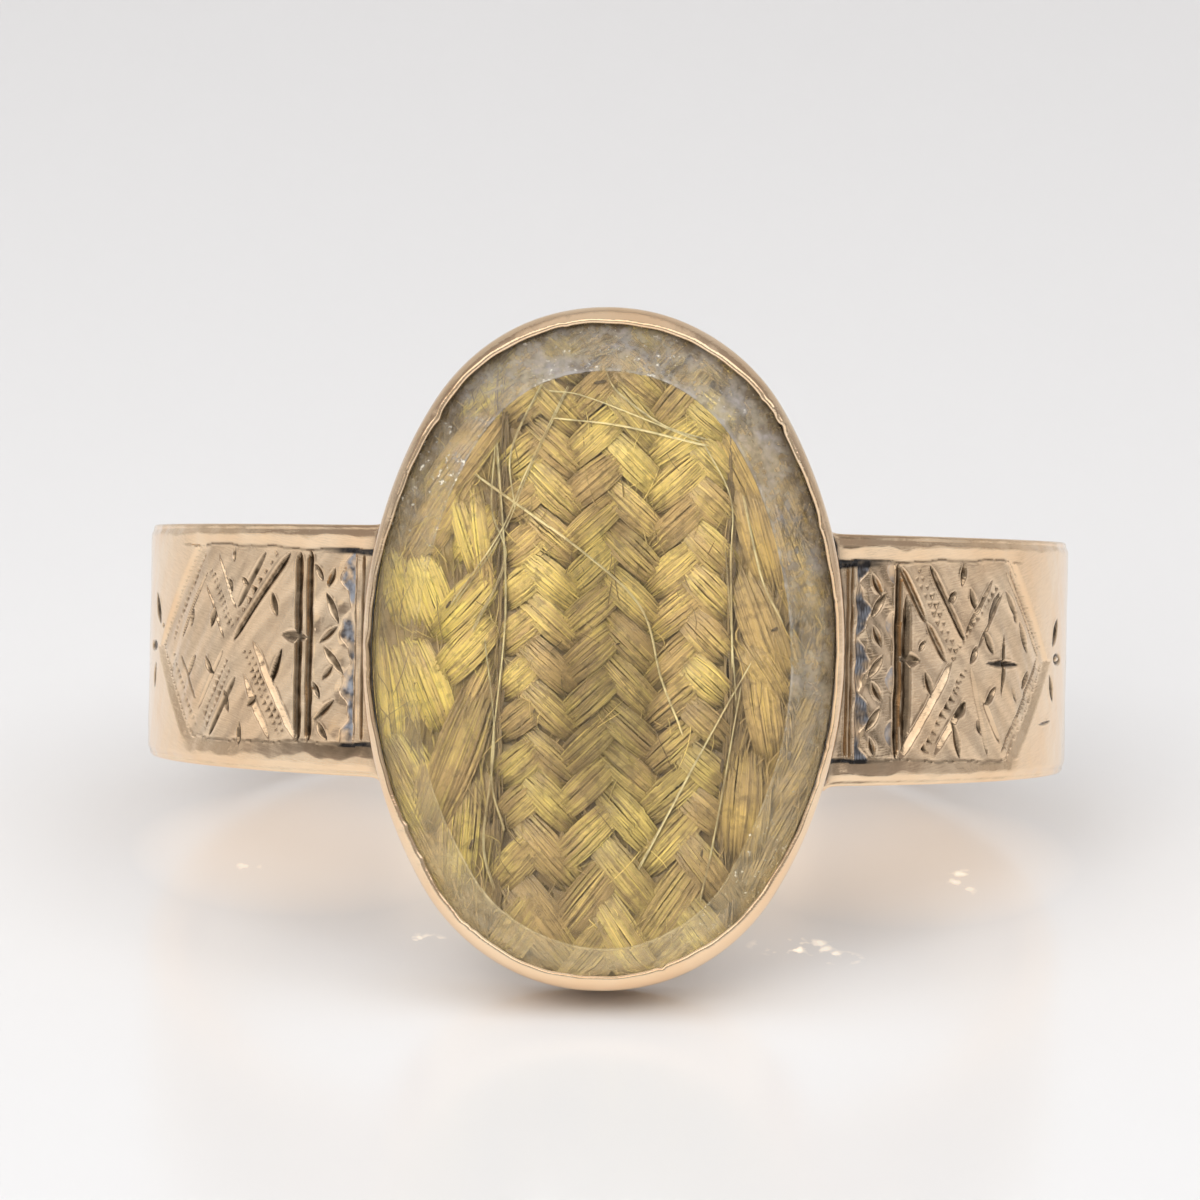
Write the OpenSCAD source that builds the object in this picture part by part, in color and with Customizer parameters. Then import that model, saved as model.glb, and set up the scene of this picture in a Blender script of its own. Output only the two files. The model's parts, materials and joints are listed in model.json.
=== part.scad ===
// A mourning ring: a wide gold band with an oval bezel, and plaited hair under a bevelled glass.
// It rests on its side as it would by itself, on the lower tip of the bezel and the lower back
// edge of the band, so the head looks slightly upwards. The head faces -Y and +Z is up.

/* [Band] */
// Inner diameter of the band, where the finger goes
finger_d = 18.9; // [15:0.1:22]
// Thickness of the band's metal
band_t = 0.9; // [0.7:0.05:1.4]
// Width of the band at the front, behind the bezel
band_front_w = 5.6; // [4.8:0.1:7]
// Width of the band at the back of the finger
band_back_w = 4.7; // [3:0.1:5.5]

/* [Engraved panels] */
// Height of the panels, between the plain rails along the band's edges
panel_w = 4.35; // [3:0.05:4.5]
// Depth of the panels below the rails
panel_depth = 0.08; // [0.04:0.01:0.15]
// Angle round the finger from the head's middle to the end of a panel's straight part
panel_angle = 60; // [50:1:68]
// Angle round the finger from the head's middle to a panel's point
point_angle = 73; // [70:1:85]
// Angles of the three upright grooves of each panel
groove_angles = [31.8, 39.1, 40.7];
// Width of an upright groove
groove_w = 0.2; // [0.1:0.01:0.25]
// Depth of an upright groove below the panel
groove_depth = 0.06; // [0.03:0.01:0.12]

/* [Bezel] */
// Width of the oval over the rim
oval_w = 10.5; // [9:0.1:12]
// Height of the oval over the rim
oval_h = 14.9; // [13:0.1:18]
// Radius of the oval's two ends
oval_end_r = 4.4; // [3.6:0.1:4.45]
// How far the oval's middle sits above the band's middle
head_up = 0.2; // [-0.3:0.05:0.4]
// Thickness of the bezel's wall
bezel_wall = 0.2; // [0.15:0.05:0.5]
// Width of the ledge inside the wall that carries the glass
ledge_w = 0.15; // [0.1:0.05:0.4]
// Metal between the band's outer face and the hair
floor_t = 0.4; // [0.2:0.05:1]
// How far the head's hollowed back stands off the finger
saddle_gap = 0.3; // [0.1:0.05:0.6]
// How far the rim is pressed in over the glass
rim_lip = 0.05; // [0.03:0.01:0.25]
// Height of the rim above the glass's edge
rim_t = 0.26; // [0.2:0.02:0.5]
// Rounding of the rim's outer edge
rim_round = 0.18; // [0.05:0.01:0.25]

/* [Glass] */
// Thickness of the glass at its edge
glass_edge_t = 0.65; // [0.4:0.05:1.2]
// Height of the flat table above the glass's edge
glass_rise = 0.45; // [0.2:0.05:0.8]
// Width of the bevel round the table
bevel_w = 0.9; // [0.5:0.05:1.4]

/* [Hair] */
// Thickness of the layer of plaits
hair_t = 0.7; // [0.5:0.05:1.5]
// Width of the middle plait
centre_w = 4.9; // [3.5:0.1:6]
// How far the middle plait lies to the right of the oval's middle
centre_shift = 0.24; // [-0.5:0.02:0.5]
// Depth of the furrows between the strands of a plait
furrow = 0.26; // [0.1:0.02:0.35]
// How far neighbouring columns of a plait are out of step, as a share of a strand
out_of_step = 0.3; // [0:0.05:0.5]
// Height from one strand to the next in the middle plait
centre_pitch = 0.96; // [0.7:0.02:1.5]
// Height from one strand to the next in the side plaits
side_pitch = 1.7; // [1:0.05:2.5]

/* [Clearances] */
// Gap between the glass and the metal round it
glass_fit = 0.03; // [0.01:0.01:0.08]
// Gap between the hair and what lies next to it
hair_gap = 0.05; // [0.02:0.01:0.1]

/* [Hidden] */
$fn = 96;

finger_r = finger_d / 2;
band_r = finger_r + band_t;
saddle_r = finger_r + saddle_gap;

// The oval has two flat side arcs and two end arcs that meet them without a corner
half_w = oval_w / 2;
half_h = oval_h / 2;
end_y = half_h - oval_end_r;
side_r = (half_w * half_w + end_y * end_y - oval_end_r * oval_end_r) / (2 * (half_w - oval_end_r));
side_x = side_r - half_w;
side_angle = atan2(end_y, side_x);

// Heights in the head, measured from the finger's axis
floor_h = band_r + floor_t;
hair_h = floor_h + hair_gap;
glass_h = hair_h + hair_t + hair_gap;
ledge_h = glass_h - glass_fit;
edge_h = glass_h + glass_edge_t;
table_h = edge_h + glass_rise;
rim_h = edge_h + rim_t;
back_h = sqrt(saddle_r * saddle_r - half_w * half_w) - band_t;

// Distances in from the oval's outline
glass_in = bezel_wall + glass_fit;
hair_in = bezel_wall + ledge_w + hair_gap;
lip_slope = glass_rise / bevel_w;

// Half the band's width grows evenly from the back of the finger to the front
mean_half = (band_front_w + band_back_w) / 4;
half_taper = (band_front_w - band_back_w) / (4 * band_r);

// The ring leans until the bezel's lower tip and the band's lower back edge are level
tip_z = half_h - head_up;
lean = atan((tip_z - band_back_w / 2) / (saddle_r + band_r));
lift = band_r * sin(lean) + band_back_w / 2 * cos(lean);
front_y = (rim_h - rim_round) * cos(lean) + (tip_z - rim_round) * sin(lean) + rim_round;
rear_y = band_r * cos(lean) + band_back_w / 2 * sin(lean);
shift_y = (front_y - rear_y) / 2;

// Steps along each arc of the oval, and in the hair rows for each strand and steps for each column
arc_steps = 20;
rows_a_strand = 5;
steps_a_column = 4;

gold = "#d8a67e";

// Puts what is built round the finger's axis, with the head towards -Y, where the ring rests
module place_ring() {
  translate([0, shift_y, lift]) rotate([-lean, 0, 0]) children();
}

// Puts what is built on the XY plane, +Z out of the head, on the front of the ring
module place_head() {
  place_ring() translate([0, 0, head_up]) rotate([90, 0, 0]) children();
}

// A point of the oval's outline: which of its four arcs, the share of the way along it, and how
// far in from the outline
function oval_point(arc, share, inset) =
  let (
    is_side = arc % 2 == 0,
    span = is_side ? side_angle : 90 - side_angle,
    r = (is_side ? side_r : oval_end_r) - inset,
    out = is_side ? -side_x : end_y,
    a = span * (2 * share - 1),
    u = out + r * cos(a),
    v = r * sin(a)
  )
  [u * cos(90 * arc) - v * sin(90 * arc), u * sin(90 * arc) + v * cos(90 * arc)];

// A solid through one oval for each [distance in, height] of the profile, closed flat at both ends
module oval_loft(profile) {
  n = 4 * arc_steps;
  rings = len(profile);
  sides = [
    for (p = profile)
      for (arc = [0:3])
        for (k = [0:arc_steps - 1])
          let (q = oval_point(arc, k / arc_steps, p[0])) [q[0], q[1], p[1]]
  ];
  polyhedron(
    points = concat(sides, [[0, 0, profile[0][1]], [0, 0, profile[rings - 1][1]]]),
    faces = concat(
      [
        for (j = [0:rings - 2])
          for (k = [0:n - 1])
            let (next = (k + 1) % n)
            for (f = [
              [j * n + k, (j + 1) * n + k, (j + 1) * n + next],
              [j * n + k, (j + 1) * n + next, j * n + next]
            ]) f
      ],
      [for (k = [0:n - 1]) [rings * n, k, (k + 1) % n]],
      [for (k = [0:n - 1]) [rings * n + 1, (rings - 1) * n + (k + 1) % n, (rings - 1) * n + k]]
    )
  );
}

// The space between the band's two slanting edges
module band_slot() {
  reach = 2 * band_r;
  near = mean_half + half_taper * reach;
  far = mean_half - half_taper * reach;
  rotate([90, 0, 90]) linear_extrude(height = 2 * reach, center = true)
    polygon([[-reach, -near], [reach, -far], [reach, far], [-reach, near]]);
}

// A shallow cut of the band's outer face, from one angle round the finger to another
module face_cut(from, to, depth, height) {
  rotate([0, 0, from - 90]) rotate_extrude(angle = to - from)
    translate([band_r - depth, -height / 2]) square([depth + band_t, height]);
}

// The pointed end of a panel, cut straight in towards the finger's axis
module point_cut() {
  middle = (panel_angle + point_angle) / 2;
  base = band_r * sin(panel_angle - middle) - groove_w;
  tip = band_r * sin(point_angle - middle);
  half = panel_w / 2;
  intersection() {
    face_cut(panel_angle - asin(groove_w / band_r), point_angle, panel_depth, panel_w + groove_w);
    rotate([0, 0, middle]) rotate([90, 0, 0]) linear_extrude(height = band_r + band_t)
      polygon([[base, -half], [tip, 0], [base, half]]);
  }
}

// The engraved panel at the right of the head, with its upright grooves, which stop short of the
// rails
module panel_cut() {
  start = asin((half_w - 2 * bezel_wall) / band_r);
  half_groove = asin(groove_w / 2 / band_r);
  face_cut(start, panel_angle, panel_depth, panel_w);
  point_cut();
  for (a = groove_angles)
    face_cut(a - half_groove, a + half_groove, panel_depth + groove_depth, panel_w - groove_w);
}

module band_blank() {
  difference() {
    intersection() {
      cylinder(r = band_r, h = 2 * band_front_w, center = true);
      band_slot();
    }
    panel_cut();
    mirror([1, 0, 0]) panel_cut();
  }
}

// The bezel's wall, rim, ledge and floor, hollowed at the back to follow the finger
module bezel_blank() {
  rounding = [for (a = [0:22.5:90]) [rim_round * (1 - cos(a)), rim_h - rim_round * (1 - sin(a))]];
  lip_in = bezel_wall + rim_lip;
  lip_h = edge_h + glass_fit;
  inside = [
    [lip_in, rim_h],
    [lip_in, lip_h + rim_lip * lip_slope],
    [bezel_wall, lip_h],
    [bezel_wall, ledge_h],
    [bezel_wall + ledge_w, ledge_h],
    [bezel_wall + ledge_w, floor_h]
  ];
  difference() {
    oval_loft(concat([[0, back_h]], rounding, inside));
    rotate([90, 0, 0]) cylinder(r = saddle_r, h = 2 * oval_h, center = true);
  }
}

module band_with_bezel() {
  color(gold) difference() {
    union() {
      place_ring() band_blank();
      place_head() bezel_blank();
    }
    place_ring() cylinder(r = finger_r, h = 2 * band_front_w, center = true);
  }
}

module crystal() {
  color([0.86, 0.88, 0.84, 0.4]) place_head()
    oval_loft([[glass_in, glass_h], [glass_in, edge_h], [glass_in + bevel_w, table_h]]);
}

// Half the oval's width at height y, moved in by inset
function oval_half(y, inset) =
  abs(y) < side_r * sin(side_angle)
    ? sqrt(pow(side_r - inset, 2) - y * y) - side_x
    : sqrt(max(0, pow(oval_end_r - inset, 2) - pow(abs(y) - end_y, 2)));

// Half the oval's height at a distance x from its middle line, moved in by inset
function oval_reach(x, inset) =
  abs(x) < oval_end_r * cos(side_angle)
    ? end_y + sqrt(pow(oval_end_r - inset, 2) - x * x)
    : sqrt(max(0, pow(side_r - inset, 2) - pow(abs(x) + side_x, 2)));

// Height of a plait's face: strands that slant up and down by turns in columns from x0 on, and
// dip under each other at the columns' edges
function plait_face(x, y, x0, column_w, pitch) =
  let (
    column = floor((x - x0) / column_w + 0.001),
    across = (x - x0) / column_w - column,
    turn = (column % 2 == 0) ? 1 : -1,
    strand = y / pitch - turn * ((across - 0.5) * column_w / pitch + out_of_step / 2),
    bulge = abs(cos(180 * strand)),
    crown = sin(180 * max(0, min(1, across)))
  )
  hair_h + hair_t - furrow * (1 - 0.6 * bulge - 0.4 * crown);

// A plait that lies between two lines, left and right, and ends at the heights +-reach
module plait(left, right, reach, columns, pitch) {
  rows = round(2 * reach / pitch * rows_a_strand);
  steps = columns * steps_a_column;
  column_w = (right - left) / columns;
  ys = [for (j = [0:rows]) -reach + 2 * reach * j / rows];
  lows = [for (y = ys) max(left, -oval_half(y, hair_in))];
  highs = [for (y = ys) min(right, oval_half(y, hair_in))];
  face = [
    for (j = [0:rows])
      for (i = [0:steps])
        let (x = lows[j] + (highs[j] - lows[j]) * i / steps)
        [x, ys[j], plait_face(x, ys[j], left, column_w, pitch)]
  ];
  n = steps + 1;
  edge = concat(
    [for (i = [0:steps]) i],
    [for (j = [1:rows]) j * n + steps],
    [for (i = [1:steps]) rows * n + steps - i],
    [for (j = [1:rows - 1]) (rows - j) * n]
  );
  m = len(edge);
  top = len(face);
  middle = [(face[0][0] + face[steps][0]) / 2, 0, hair_h];
  polyhedron(
    points = concat(face, [for (e = edge) [face[e][0], face[e][1], hair_h]], [middle]),
    faces = concat(
      [for (j = [0:rows - 1], i = [0:steps - 1]) [j * n + i, (j + 1) * n + i, (j + 1) * n + i + 1]],
      [for (j = [0:rows - 1], i = [0:steps - 1]) [j * n + i, (j + 1) * n + i + 1, j * n + i + 1]],
      [for (k = [0:m - 1]) [edge[k], edge[(k + 1) % m], top + (k + 1) % m]],
      [for (k = [0:m - 1]) [edge[k], top + (k + 1) % m, top + k]],
      [for (k = [0:m - 1]) [top + m, top + k, top + (k + 1) % m]]
    )
  );
}

centre_left = centre_shift - centre_w / 2;
centre_right = centre_shift + centre_w / 2;

module centre_plait() {
  narrow = max(abs(centre_left), abs(centre_right));
  color("#9a8450") place_head()
    plait(centre_left, centre_right, oval_reach(narrow / 2, hair_in), 6, centre_pitch);
}

module left_plait() {
  right = centre_left - hair_gap;
  color("#a99552") place_head()
    plait(-half_w + hair_in, right, oval_reach(right - hair_in, hair_in), 2, side_pitch);
}

module right_plait() {
  left = centre_right + hair_gap;
  color("#80673c") place_head()
    plait(left, half_w - hair_in, oval_reach(left + hair_in, hair_in), 2, side_pitch);
}

band_with_bezel();
crystal();
centre_plait();
left_plait();
right_plait();
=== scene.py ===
"""A gold mourning ring, with plaited hair under a bevelled glass.

Sizes are in millimetres inside the functions and in metres in the meshes. The head's own frame has
u to the right, v up along the oval and w out of the head from the finger's axis. On the band, an
angle is counted round the finger from the head's middle.
"""

import json
import math
from types import SimpleNamespace

import bpy
import numpy as np
from bpy.props import FloatProperty, FloatVectorProperty, IntProperty, PointerProperty
from mathutils import Matrix, Vector


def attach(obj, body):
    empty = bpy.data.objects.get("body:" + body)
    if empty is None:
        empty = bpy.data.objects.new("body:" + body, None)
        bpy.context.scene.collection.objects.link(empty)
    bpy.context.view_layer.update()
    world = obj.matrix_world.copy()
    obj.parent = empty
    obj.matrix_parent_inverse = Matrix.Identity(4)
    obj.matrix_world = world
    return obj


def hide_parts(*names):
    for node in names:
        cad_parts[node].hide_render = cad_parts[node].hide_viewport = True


bl_info = {
    "name": "Mourning Ring",
    "version": (1, 0, 0),
    "blender": (4, 5, 0),
    "location": "View3D > Sidebar > Ring",
    "description": "Builds a gold ring with plaited hair under a bevelled glass",
    "category": "Add Mesh",
}

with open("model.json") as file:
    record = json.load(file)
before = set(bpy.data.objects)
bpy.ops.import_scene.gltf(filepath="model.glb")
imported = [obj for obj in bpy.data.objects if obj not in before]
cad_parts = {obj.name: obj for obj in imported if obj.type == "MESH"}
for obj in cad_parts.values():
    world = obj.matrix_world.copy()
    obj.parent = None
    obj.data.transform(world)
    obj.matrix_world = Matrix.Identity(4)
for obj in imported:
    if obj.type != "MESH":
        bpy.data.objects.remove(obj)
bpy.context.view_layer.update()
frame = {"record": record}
FINGER = next(m for m in frame["record"]["mounts"] if m["name"] == "finger")
ORIGIN = np.array(FINGER["pos_m"])
ALONG = np.array(FINGER["axis"])
RIGHT = np.array([1.0, 0.0, 0.0])
BACK = np.cross(ALONG, RIGHT)
MM_IN_M = 1000

# The oval's length, about, in millimetres: waves and nicks are laid out along it
ROUND = 40

# Stretches of half the band: where each starts and ends, in degrees from the middle of the front,
# and how many sections it has, which stand closest where the engraving is
STRETCHES = [(0, 27, 12), (27.5, 62, 282), (62.25, 84, 86), (85, 180, 48)]

# Cuts of the left panel: where each starts and ends, in degrees round the finger and millimetres
# above the oval's middle, then its width, its depth, how even it is (2 for a pointed leaf, 16 for
# a line of one width), how far its steep side leans towards the line's left, and the tarnish with
# painted shade on its wider wall (above 0) or on its narrower one (below 0)
LEFT_CUTS = [
    (41.2, 1.95, 41.2, -2.24, 0.23, 0.075, 30, 0.5, 0.8),
    (39.4, 1.97, 39.4, -2.26, 0.21, 0.075, 30, 0.5, 0.8),
    (32.4, 1.96, 32.4, -2.2, 0.09, 0.05, 30, 0.2, 0.5),
    (31.2, 1.96, 31.2, -2.2, 0.09, 0.05, 30, -0.2, 0.5),
    (42.7, 1.92, 53.6, -0.09, 0.21, 0.098, 8, 0.5, 0.9),
    (47.3, 1.92, 52.9, 0.65, 0.17, 0.081, 6, -0.4, 0.8),
    (55.8, -0.3, 62.0, -1.64, 0.12, 0.062, 8, 0.3, 0.6),
    (53.0, -0.86, 58.9, -2.22, 0.17, 0.081, 6, -0.4, 0.8),
    (57.2, 1.87, 53.1, 0.61, 0.09, 0.05, 6, 0.4, 0.6),
    (60.1, 1.16, 55.6, -0.05, 0.09, 0.05, 6, 0.4, 0.6),
    (49.6, -0.03, 41.4, -2.24, 0.17, 0.085, 6, -0.55, -0.8),
    (51.5, -0.77, 46.0, -2.26, 0.16, 0.085, 4, -0.55, -0.8),
    (59.9, 1.41, 67.2, -0.1, 0.09, 0.05, 8, 0.3, 0.6),
    (67.7, -0.43, 62.5, -1.44, 0.07, 0.04, 8, -0.3, 0.6),
    (44.3, 0.11, 39.7, 0.05, 0.27, 0.08, 2, 0.2, 0.8),
    (35.4, 1.62, 36.6, 1.16, 0.18, 0.078, 2, 0.4, 0.8),
    (37.0, 1.08, 34.7, 0.36, 0.19, 0.078, 2, -0.4, 0.8),
    (34.8, 0.34, 37.9, -0.06, 0.18, 0.078, 2, 0.4, 0.8),
    (37.2, -0.1, 34.0, -0.76, 0.19, 0.078, 2, -0.4, 0.8),
    (35.6, -0.54, 37.4, -0.87, 0.17, 0.067, 2, 0.4, 0.8),
    (35.1, -1.27, 38.7, -1.78, 0.19, 0.078, 2, 0.4, 0.8),
    (38.1, -1.77, 36.2, -2.21, 0.17, 0.078, 2, -0.4, 0.8),
    (38.6, 1.7, 37.2, 1.3, 0.16, 0.056, 2, 0.3, 0.8),
    (38.8, -0.9, 37.6, -1.3, 0.17, 0.056, 2, 0.3, 0.8),
    (53.5, 2.0, 53.5, 1.66, 0.14, 0.075, 2, 0.5, 0.8),
    (51.9, 1.35, 50.5, 1.11, 0.14, 0.062, 2, 0.3, 0.8),
    (54.9, 1.3, 53.8, 1.0, 0.22, 0.09, 2, 0.3, 0.8),
    (57.7, 0.66, 58.9, 0.18, 0.23, 0.08, 2, 0.5, 0.8),
    (46.0, 1.05, 45.0, 0.48, 0.21, 0.075, 2, -0.4, 0.8),
    (63.4, 0.6, 64.4, 0.17, 0.16, 0.075, 2, 0.3, 0.8),
    (63.1, -0.42, 65.4, -0.94, 0.2, 0.088, 2, 0.4, 0.8),
    (60.1, -0.42, 58.2, -0.88, 0.18, 0.075, 2, 0.4, 0.8),
    (44.0, -0.18, 45.9, -1.06, 0.22, 0.08, 2, 0.6, 1.0),
    (55.5, -1.15, 54.3, -1.68, 0.18, 0.075, 2, 0.3, 0.8),
    (48.5, -1.26, 50.4, -1.52, 0.2, 0.088, 2, 0.3, 0.8),
    (51.9, -1.85, 51.8, -2.4, 0.17, 0.075, 2, 0.4, 0.8),
    (77.8, 0.92, 75.1, 0.18, 0.34, 0.06, 2, 0.3, 1.0),
    (77.9, -0.66, 78.6, -1.26, 0.3, 0.05, 2, 0.3, 0.8),
]
RIGHT_CUTS = [
    (38.7, 1.95, 38.7, -2.38, 0.19, 0.075, 30, 0.5, 0.8),
    (40.1, 1.3, 40.1, -2.3, 0.29, 0.081, 6, 0.4, 0.8),
    (31.1, 1.96, 31.1, -2.4, 0.09, 0.05, 30, 0.2, 0.5),
    (31.8, 1.96, 31.8, -2.4, 0.09, 0.05, 30, -0.2, 0.5),
    (38.9, 1.89, 43.5, 0.61, 0.22, 0.098, 6, 0.5, 0.7),
    (43.5, 0.65, 47.2, -0.25, 0.22, 0.098, 4, 0.5, 0.7),
    (43.8, 1.92, 50.5, 0.21, 0.21, 0.092, 6, 0.5, 0.85),
    (51.7, -0.34, 56.0, -2.34, 0.14, 0.075, 6, 0.4, 0.6),
    (54.7, -1.1, 58.6, -2.04, 0.15, 0.075, 6, 0.4, 0.6),
    (48.3, -0.21, 39.2, -2.4, 0.21, 0.09, 8, -0.5, -0.8),
    (51.0, -1.02, 45.1, -2.32, 0.18, 0.085, 4, -0.5, -0.8),
    (50.6, 0.38, 56.4, 1.61, 0.12, 0.07, 5, -0.4, -0.8),
    (53.2, 0.04, 58.7, 1.31, 0.09, 0.05, 6, 0.3, 0.6),
    (59.3, 1.78, 69.4, -0.14, 0.08, 0.05, 12, 0.3, 0.6),
    (69.4, -0.14, 58.9, -2.26, 0.08, 0.05, 12, 0.3, 0.6),
    (59.4, 0.44, 58.9, -1.04, 0.16, 0.075, 2, 0.2, 1.0),
    (54.8, -0.26, 63.9, -0.31, 0.17, 0.075, 2, 0.2, 1.0),
    (38.9, -0.17, 42.6, -0.19, 0.31, 0.085, 2, -0.2, 0.8),
    (34.6, 1.72, 36.2, 1.2, 0.18, 0.078, 2, 0.4, 0.8),
    (36.8, 1.3, 34.6, 0.73, 0.18, 0.078, 2, -0.4, 0.8),
    (34.9, 0.58, 36.2, 0.08, 0.2, 0.067, 2, 0.4, 0.8),
    (36.5, -0.08, 34.3, -0.6, 0.18, 0.078, 2, -0.4, 0.8),
    (34.9, -0.66, 36.5, -1.12, 0.2, 0.067, 2, 0.4, 0.8),
    (36.4, -1.22, 33.9, -1.78, 0.18, 0.078, 2, -0.4, 0.8),
    (34.6, -1.88, 35.5, -2.32, 0.18, 0.067, 2, 0.4, 0.8),
    (50.2, 2.01, 49.9, 1.42, 0.18, 0.088, 2, 0.5, 0.8),
    (48.9, 1.34, 47.3, 1.05, 0.2, 0.088, 2, 0.3, 0.8),
    (51.4, 1.42, 52.8, 0.9, 0.2, 0.075, 2, 0.4, 0.8),
    (54.7, 0.46, 56.8, -0.08, 0.22, 0.088, 2, 0.4, 0.8),
    (59.3, 1.35, 62.4, 0.72, 0.21, 0.088, 2, 0.4, 0.8),
    (63.1, 0.66, 65.8, -0.08, 0.21, 0.088, 2, 0.4, 0.8),
    (53.3, 0.14, 51.6, -0.28, 0.21, 0.088, 2, 0.4, 0.8),
    (66.3, -0.42, 64.5, -0.88, 0.18, 0.075, 2, 0.4, 0.8),
    (57.7, -0.76, 54.9, -1.22, 0.2, 0.088, 2, 0.4, 0.8),
    (61.4, -0.8, 62.6, -1.15, 0.13, 0.062, 2, 0.3, 0.8),
    (51.2, -1.1, 49.0, -1.5, 0.23, 0.09, 2, -0.5, 0.8),
    (43.3, -0.42, 45.0, -1.06, 0.2, 0.07, 2, 0.4, 0.8),
    (43.4, 0.26, 42.2, 0.0, 0.13, 0.062, 2, 0.3, 0.8),
    (48.4, -1.5, 50.2, -2.4, 0.2, 0.08, 2, 0.5, 0.8),
    (53.5, -1.5, 54.4, -1.85, 0.21, 0.075, 2, 0.3, 0.8),
    (58.0, 1.34, 55.4, 0.64, 0.22, 0.05, 2, 0.3, 0.8),
    (61.5, 0.9, 62.3, 0.62, 0.16, 0.062, 2, 0.3, 0.8),
    (77.0, 0.72, 74.3, 0.06, 0.34, 0.06, 2, 0.3, 1.0),
    (73.1, -0.54, 75.0, -1.18, 0.3, 0.06, 2, 0.3, 1.0),
    (69.0, -1.66, 74.2, -1.58, 0.08, 0.037, 2, 0.2, 0.8),
]

# Rows of punched marks: where each row starts and ends, the step from mark to mark, the mark's
# size and how far the row lies from its line, to the line's left
LEFT_MARKS = [
    (60.7, 1.8, 70.2, -0.1, 0.17, 0.045, 0.0),
    (70.4, -0.45, 62.4, -2.0, 0.17, 0.045, 0.0),
    (44.9, 1.85, 53.0, 0.2, 0.29, 0.062, 0.1),
    (50.9, 0.55, 53.4, 0.05, 0.16, 0.045, -0.08),
    (54.7, -0.55, 60.4, -1.85, 0.17, 0.05, 0.06),
    (54.5, -0.7, 60.2, -2.0, 0.17, 0.05, -0.06),
    (58.6, 1.5, 54.3, 0.3, 0.15, 0.05, 0.07),
    (58.4, 1.35, 54.1, 0.2, 0.15, 0.05, -0.07),
    (50.9, -0.25, 44.0, -2.05, 0.17, 0.055, 0.08),
    (50.5, -0.35, 43.8, -2.1, 0.17, 0.055, -0.08),
]
RIGHT_MARKS = [
    (60.4, 1.7, 68.9, 0.0, 0.12, 0.035, 0.07),
    (68.9, -0.35, 59.6, -2.1, 0.12, 0.035, 0.07),
    (41.7, 1.75, 48.6, -0.05, 0.24, 0.05, 0.08),
    (42.0, 1.65, 48.9, -0.15, 0.24, 0.045, -0.06),
    (49.5, 0.1, 57.4, 1.45, 0.19, 0.05, 0.0),
    (50.4, -0.5, 43.3, -2.2, 0.23, 0.07, 0.0),
    (50.6, -0.35, 48.6, -0.9, 0.16, 0.045, 0.08),
]

# Scooped hollows beside the bezel: the place of each, its reach round the finger and up, its depth
LEFT_SCOOPS = [
    (33.7, 1.5, 0.22, 0.3, 0.05),
    (34.2, 0.85, 0.3, 0.26, 0.05),
    (33.6, 0.15, 0.24, 0.36, 0.06),
    (34.2, -0.35, 0.28, 0.22, 0.04),
    (33.8, -1.1, 0.3, 0.33, 0.06),
    (34.3, -1.9, 0.34, 0.3, 0.05),
    (38.0, 0.5, 0.2, 0.36, 0.05),
    (38.0, -1.55, 0.2, 0.26, 0.04),
]
RIGHT_SCOOPS = [
    (33.0, 1.15, 0.24, 0.26, 0.05),
    (32.9, 0.2, 0.22, 0.42, 0.06),
    (32.9, -0.6, 0.22, 0.36, 0.06),
    (33.0, -1.5, 0.24, 0.42, 0.06),
]

# Drilled dots and rings beyond the point of each panel: the place, the reach round the finger and
# up, and the size of a ring's core as a share of the ring (0 for a plain dot)
LEFT_DOTS = [(79.3, -0.29, 0.4, 0.13, 0.0), (73.9, 0.17, 0.08, 0.05, 0.0)]
RIGHT_DOTS = [(77.2, -0.21, 0.42, 0.15, 0.5)]

SHOULDERS = {
    "left": SimpleNamespace(
        sign=-1,
        cuts=LEFT_CUTS,
        marks=LEFT_MARKS,
        scoops=LEFT_SCOOPS,
        dots=LEFT_DOTS,
        top=2.02,
        low=-2.28,
        point=(74.4, -0.29),
        corners=(60.5, 61.8),
        # How far the black painted shade reaches under the top rail beside the bezel
        recess=0.1,
        scallop=(1.2, 0.07),
        soot_and_shade=0.1,
        # How dark the brown painted shade on the lower rail is
        lower_rail_shade=0.6,
        moons=0.0,
    ),
    "right": SimpleNamespace(
        sign=1,
        cuts=RIGHT_CUTS,
        marks=RIGHT_MARKS,
        scoops=RIGHT_SCOOPS,
        dots=RIGHT_DOTS,
        top=1.99,
        low=-2.43,
        point=(71.4, -0.23),
        corners=(59.5, 58.5),
        # How far the black painted shade reaches under the top rail beside the bezel
        recess=0.17,
        scallop=(1.13, -0.524),
        soot_and_shade=0.75,
        # How dark the brown painted shade on the lower rail is
        lower_rail_shade=0.25,
        moons=0.8,
    ),
}

# Columns of the middle plait: the middle of each and half its reach, as shares of the plait's
# width from its middle line, which way it slants, and the height of one of its floats as a share
# of the pitch
CENTRE_COLUMNS = [
    (-0.415, 0.085, 1, 0.4),
    (-0.292, 0.122, -1, 0.55),
    (-0.116, 0.127, 1, 0.83),
    (0.068, 0.122, -1, 0.19),
    (0.265, 0.116, 1, 0.83),
    (0.402, 0.1, -1, 0.4),
]

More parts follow.
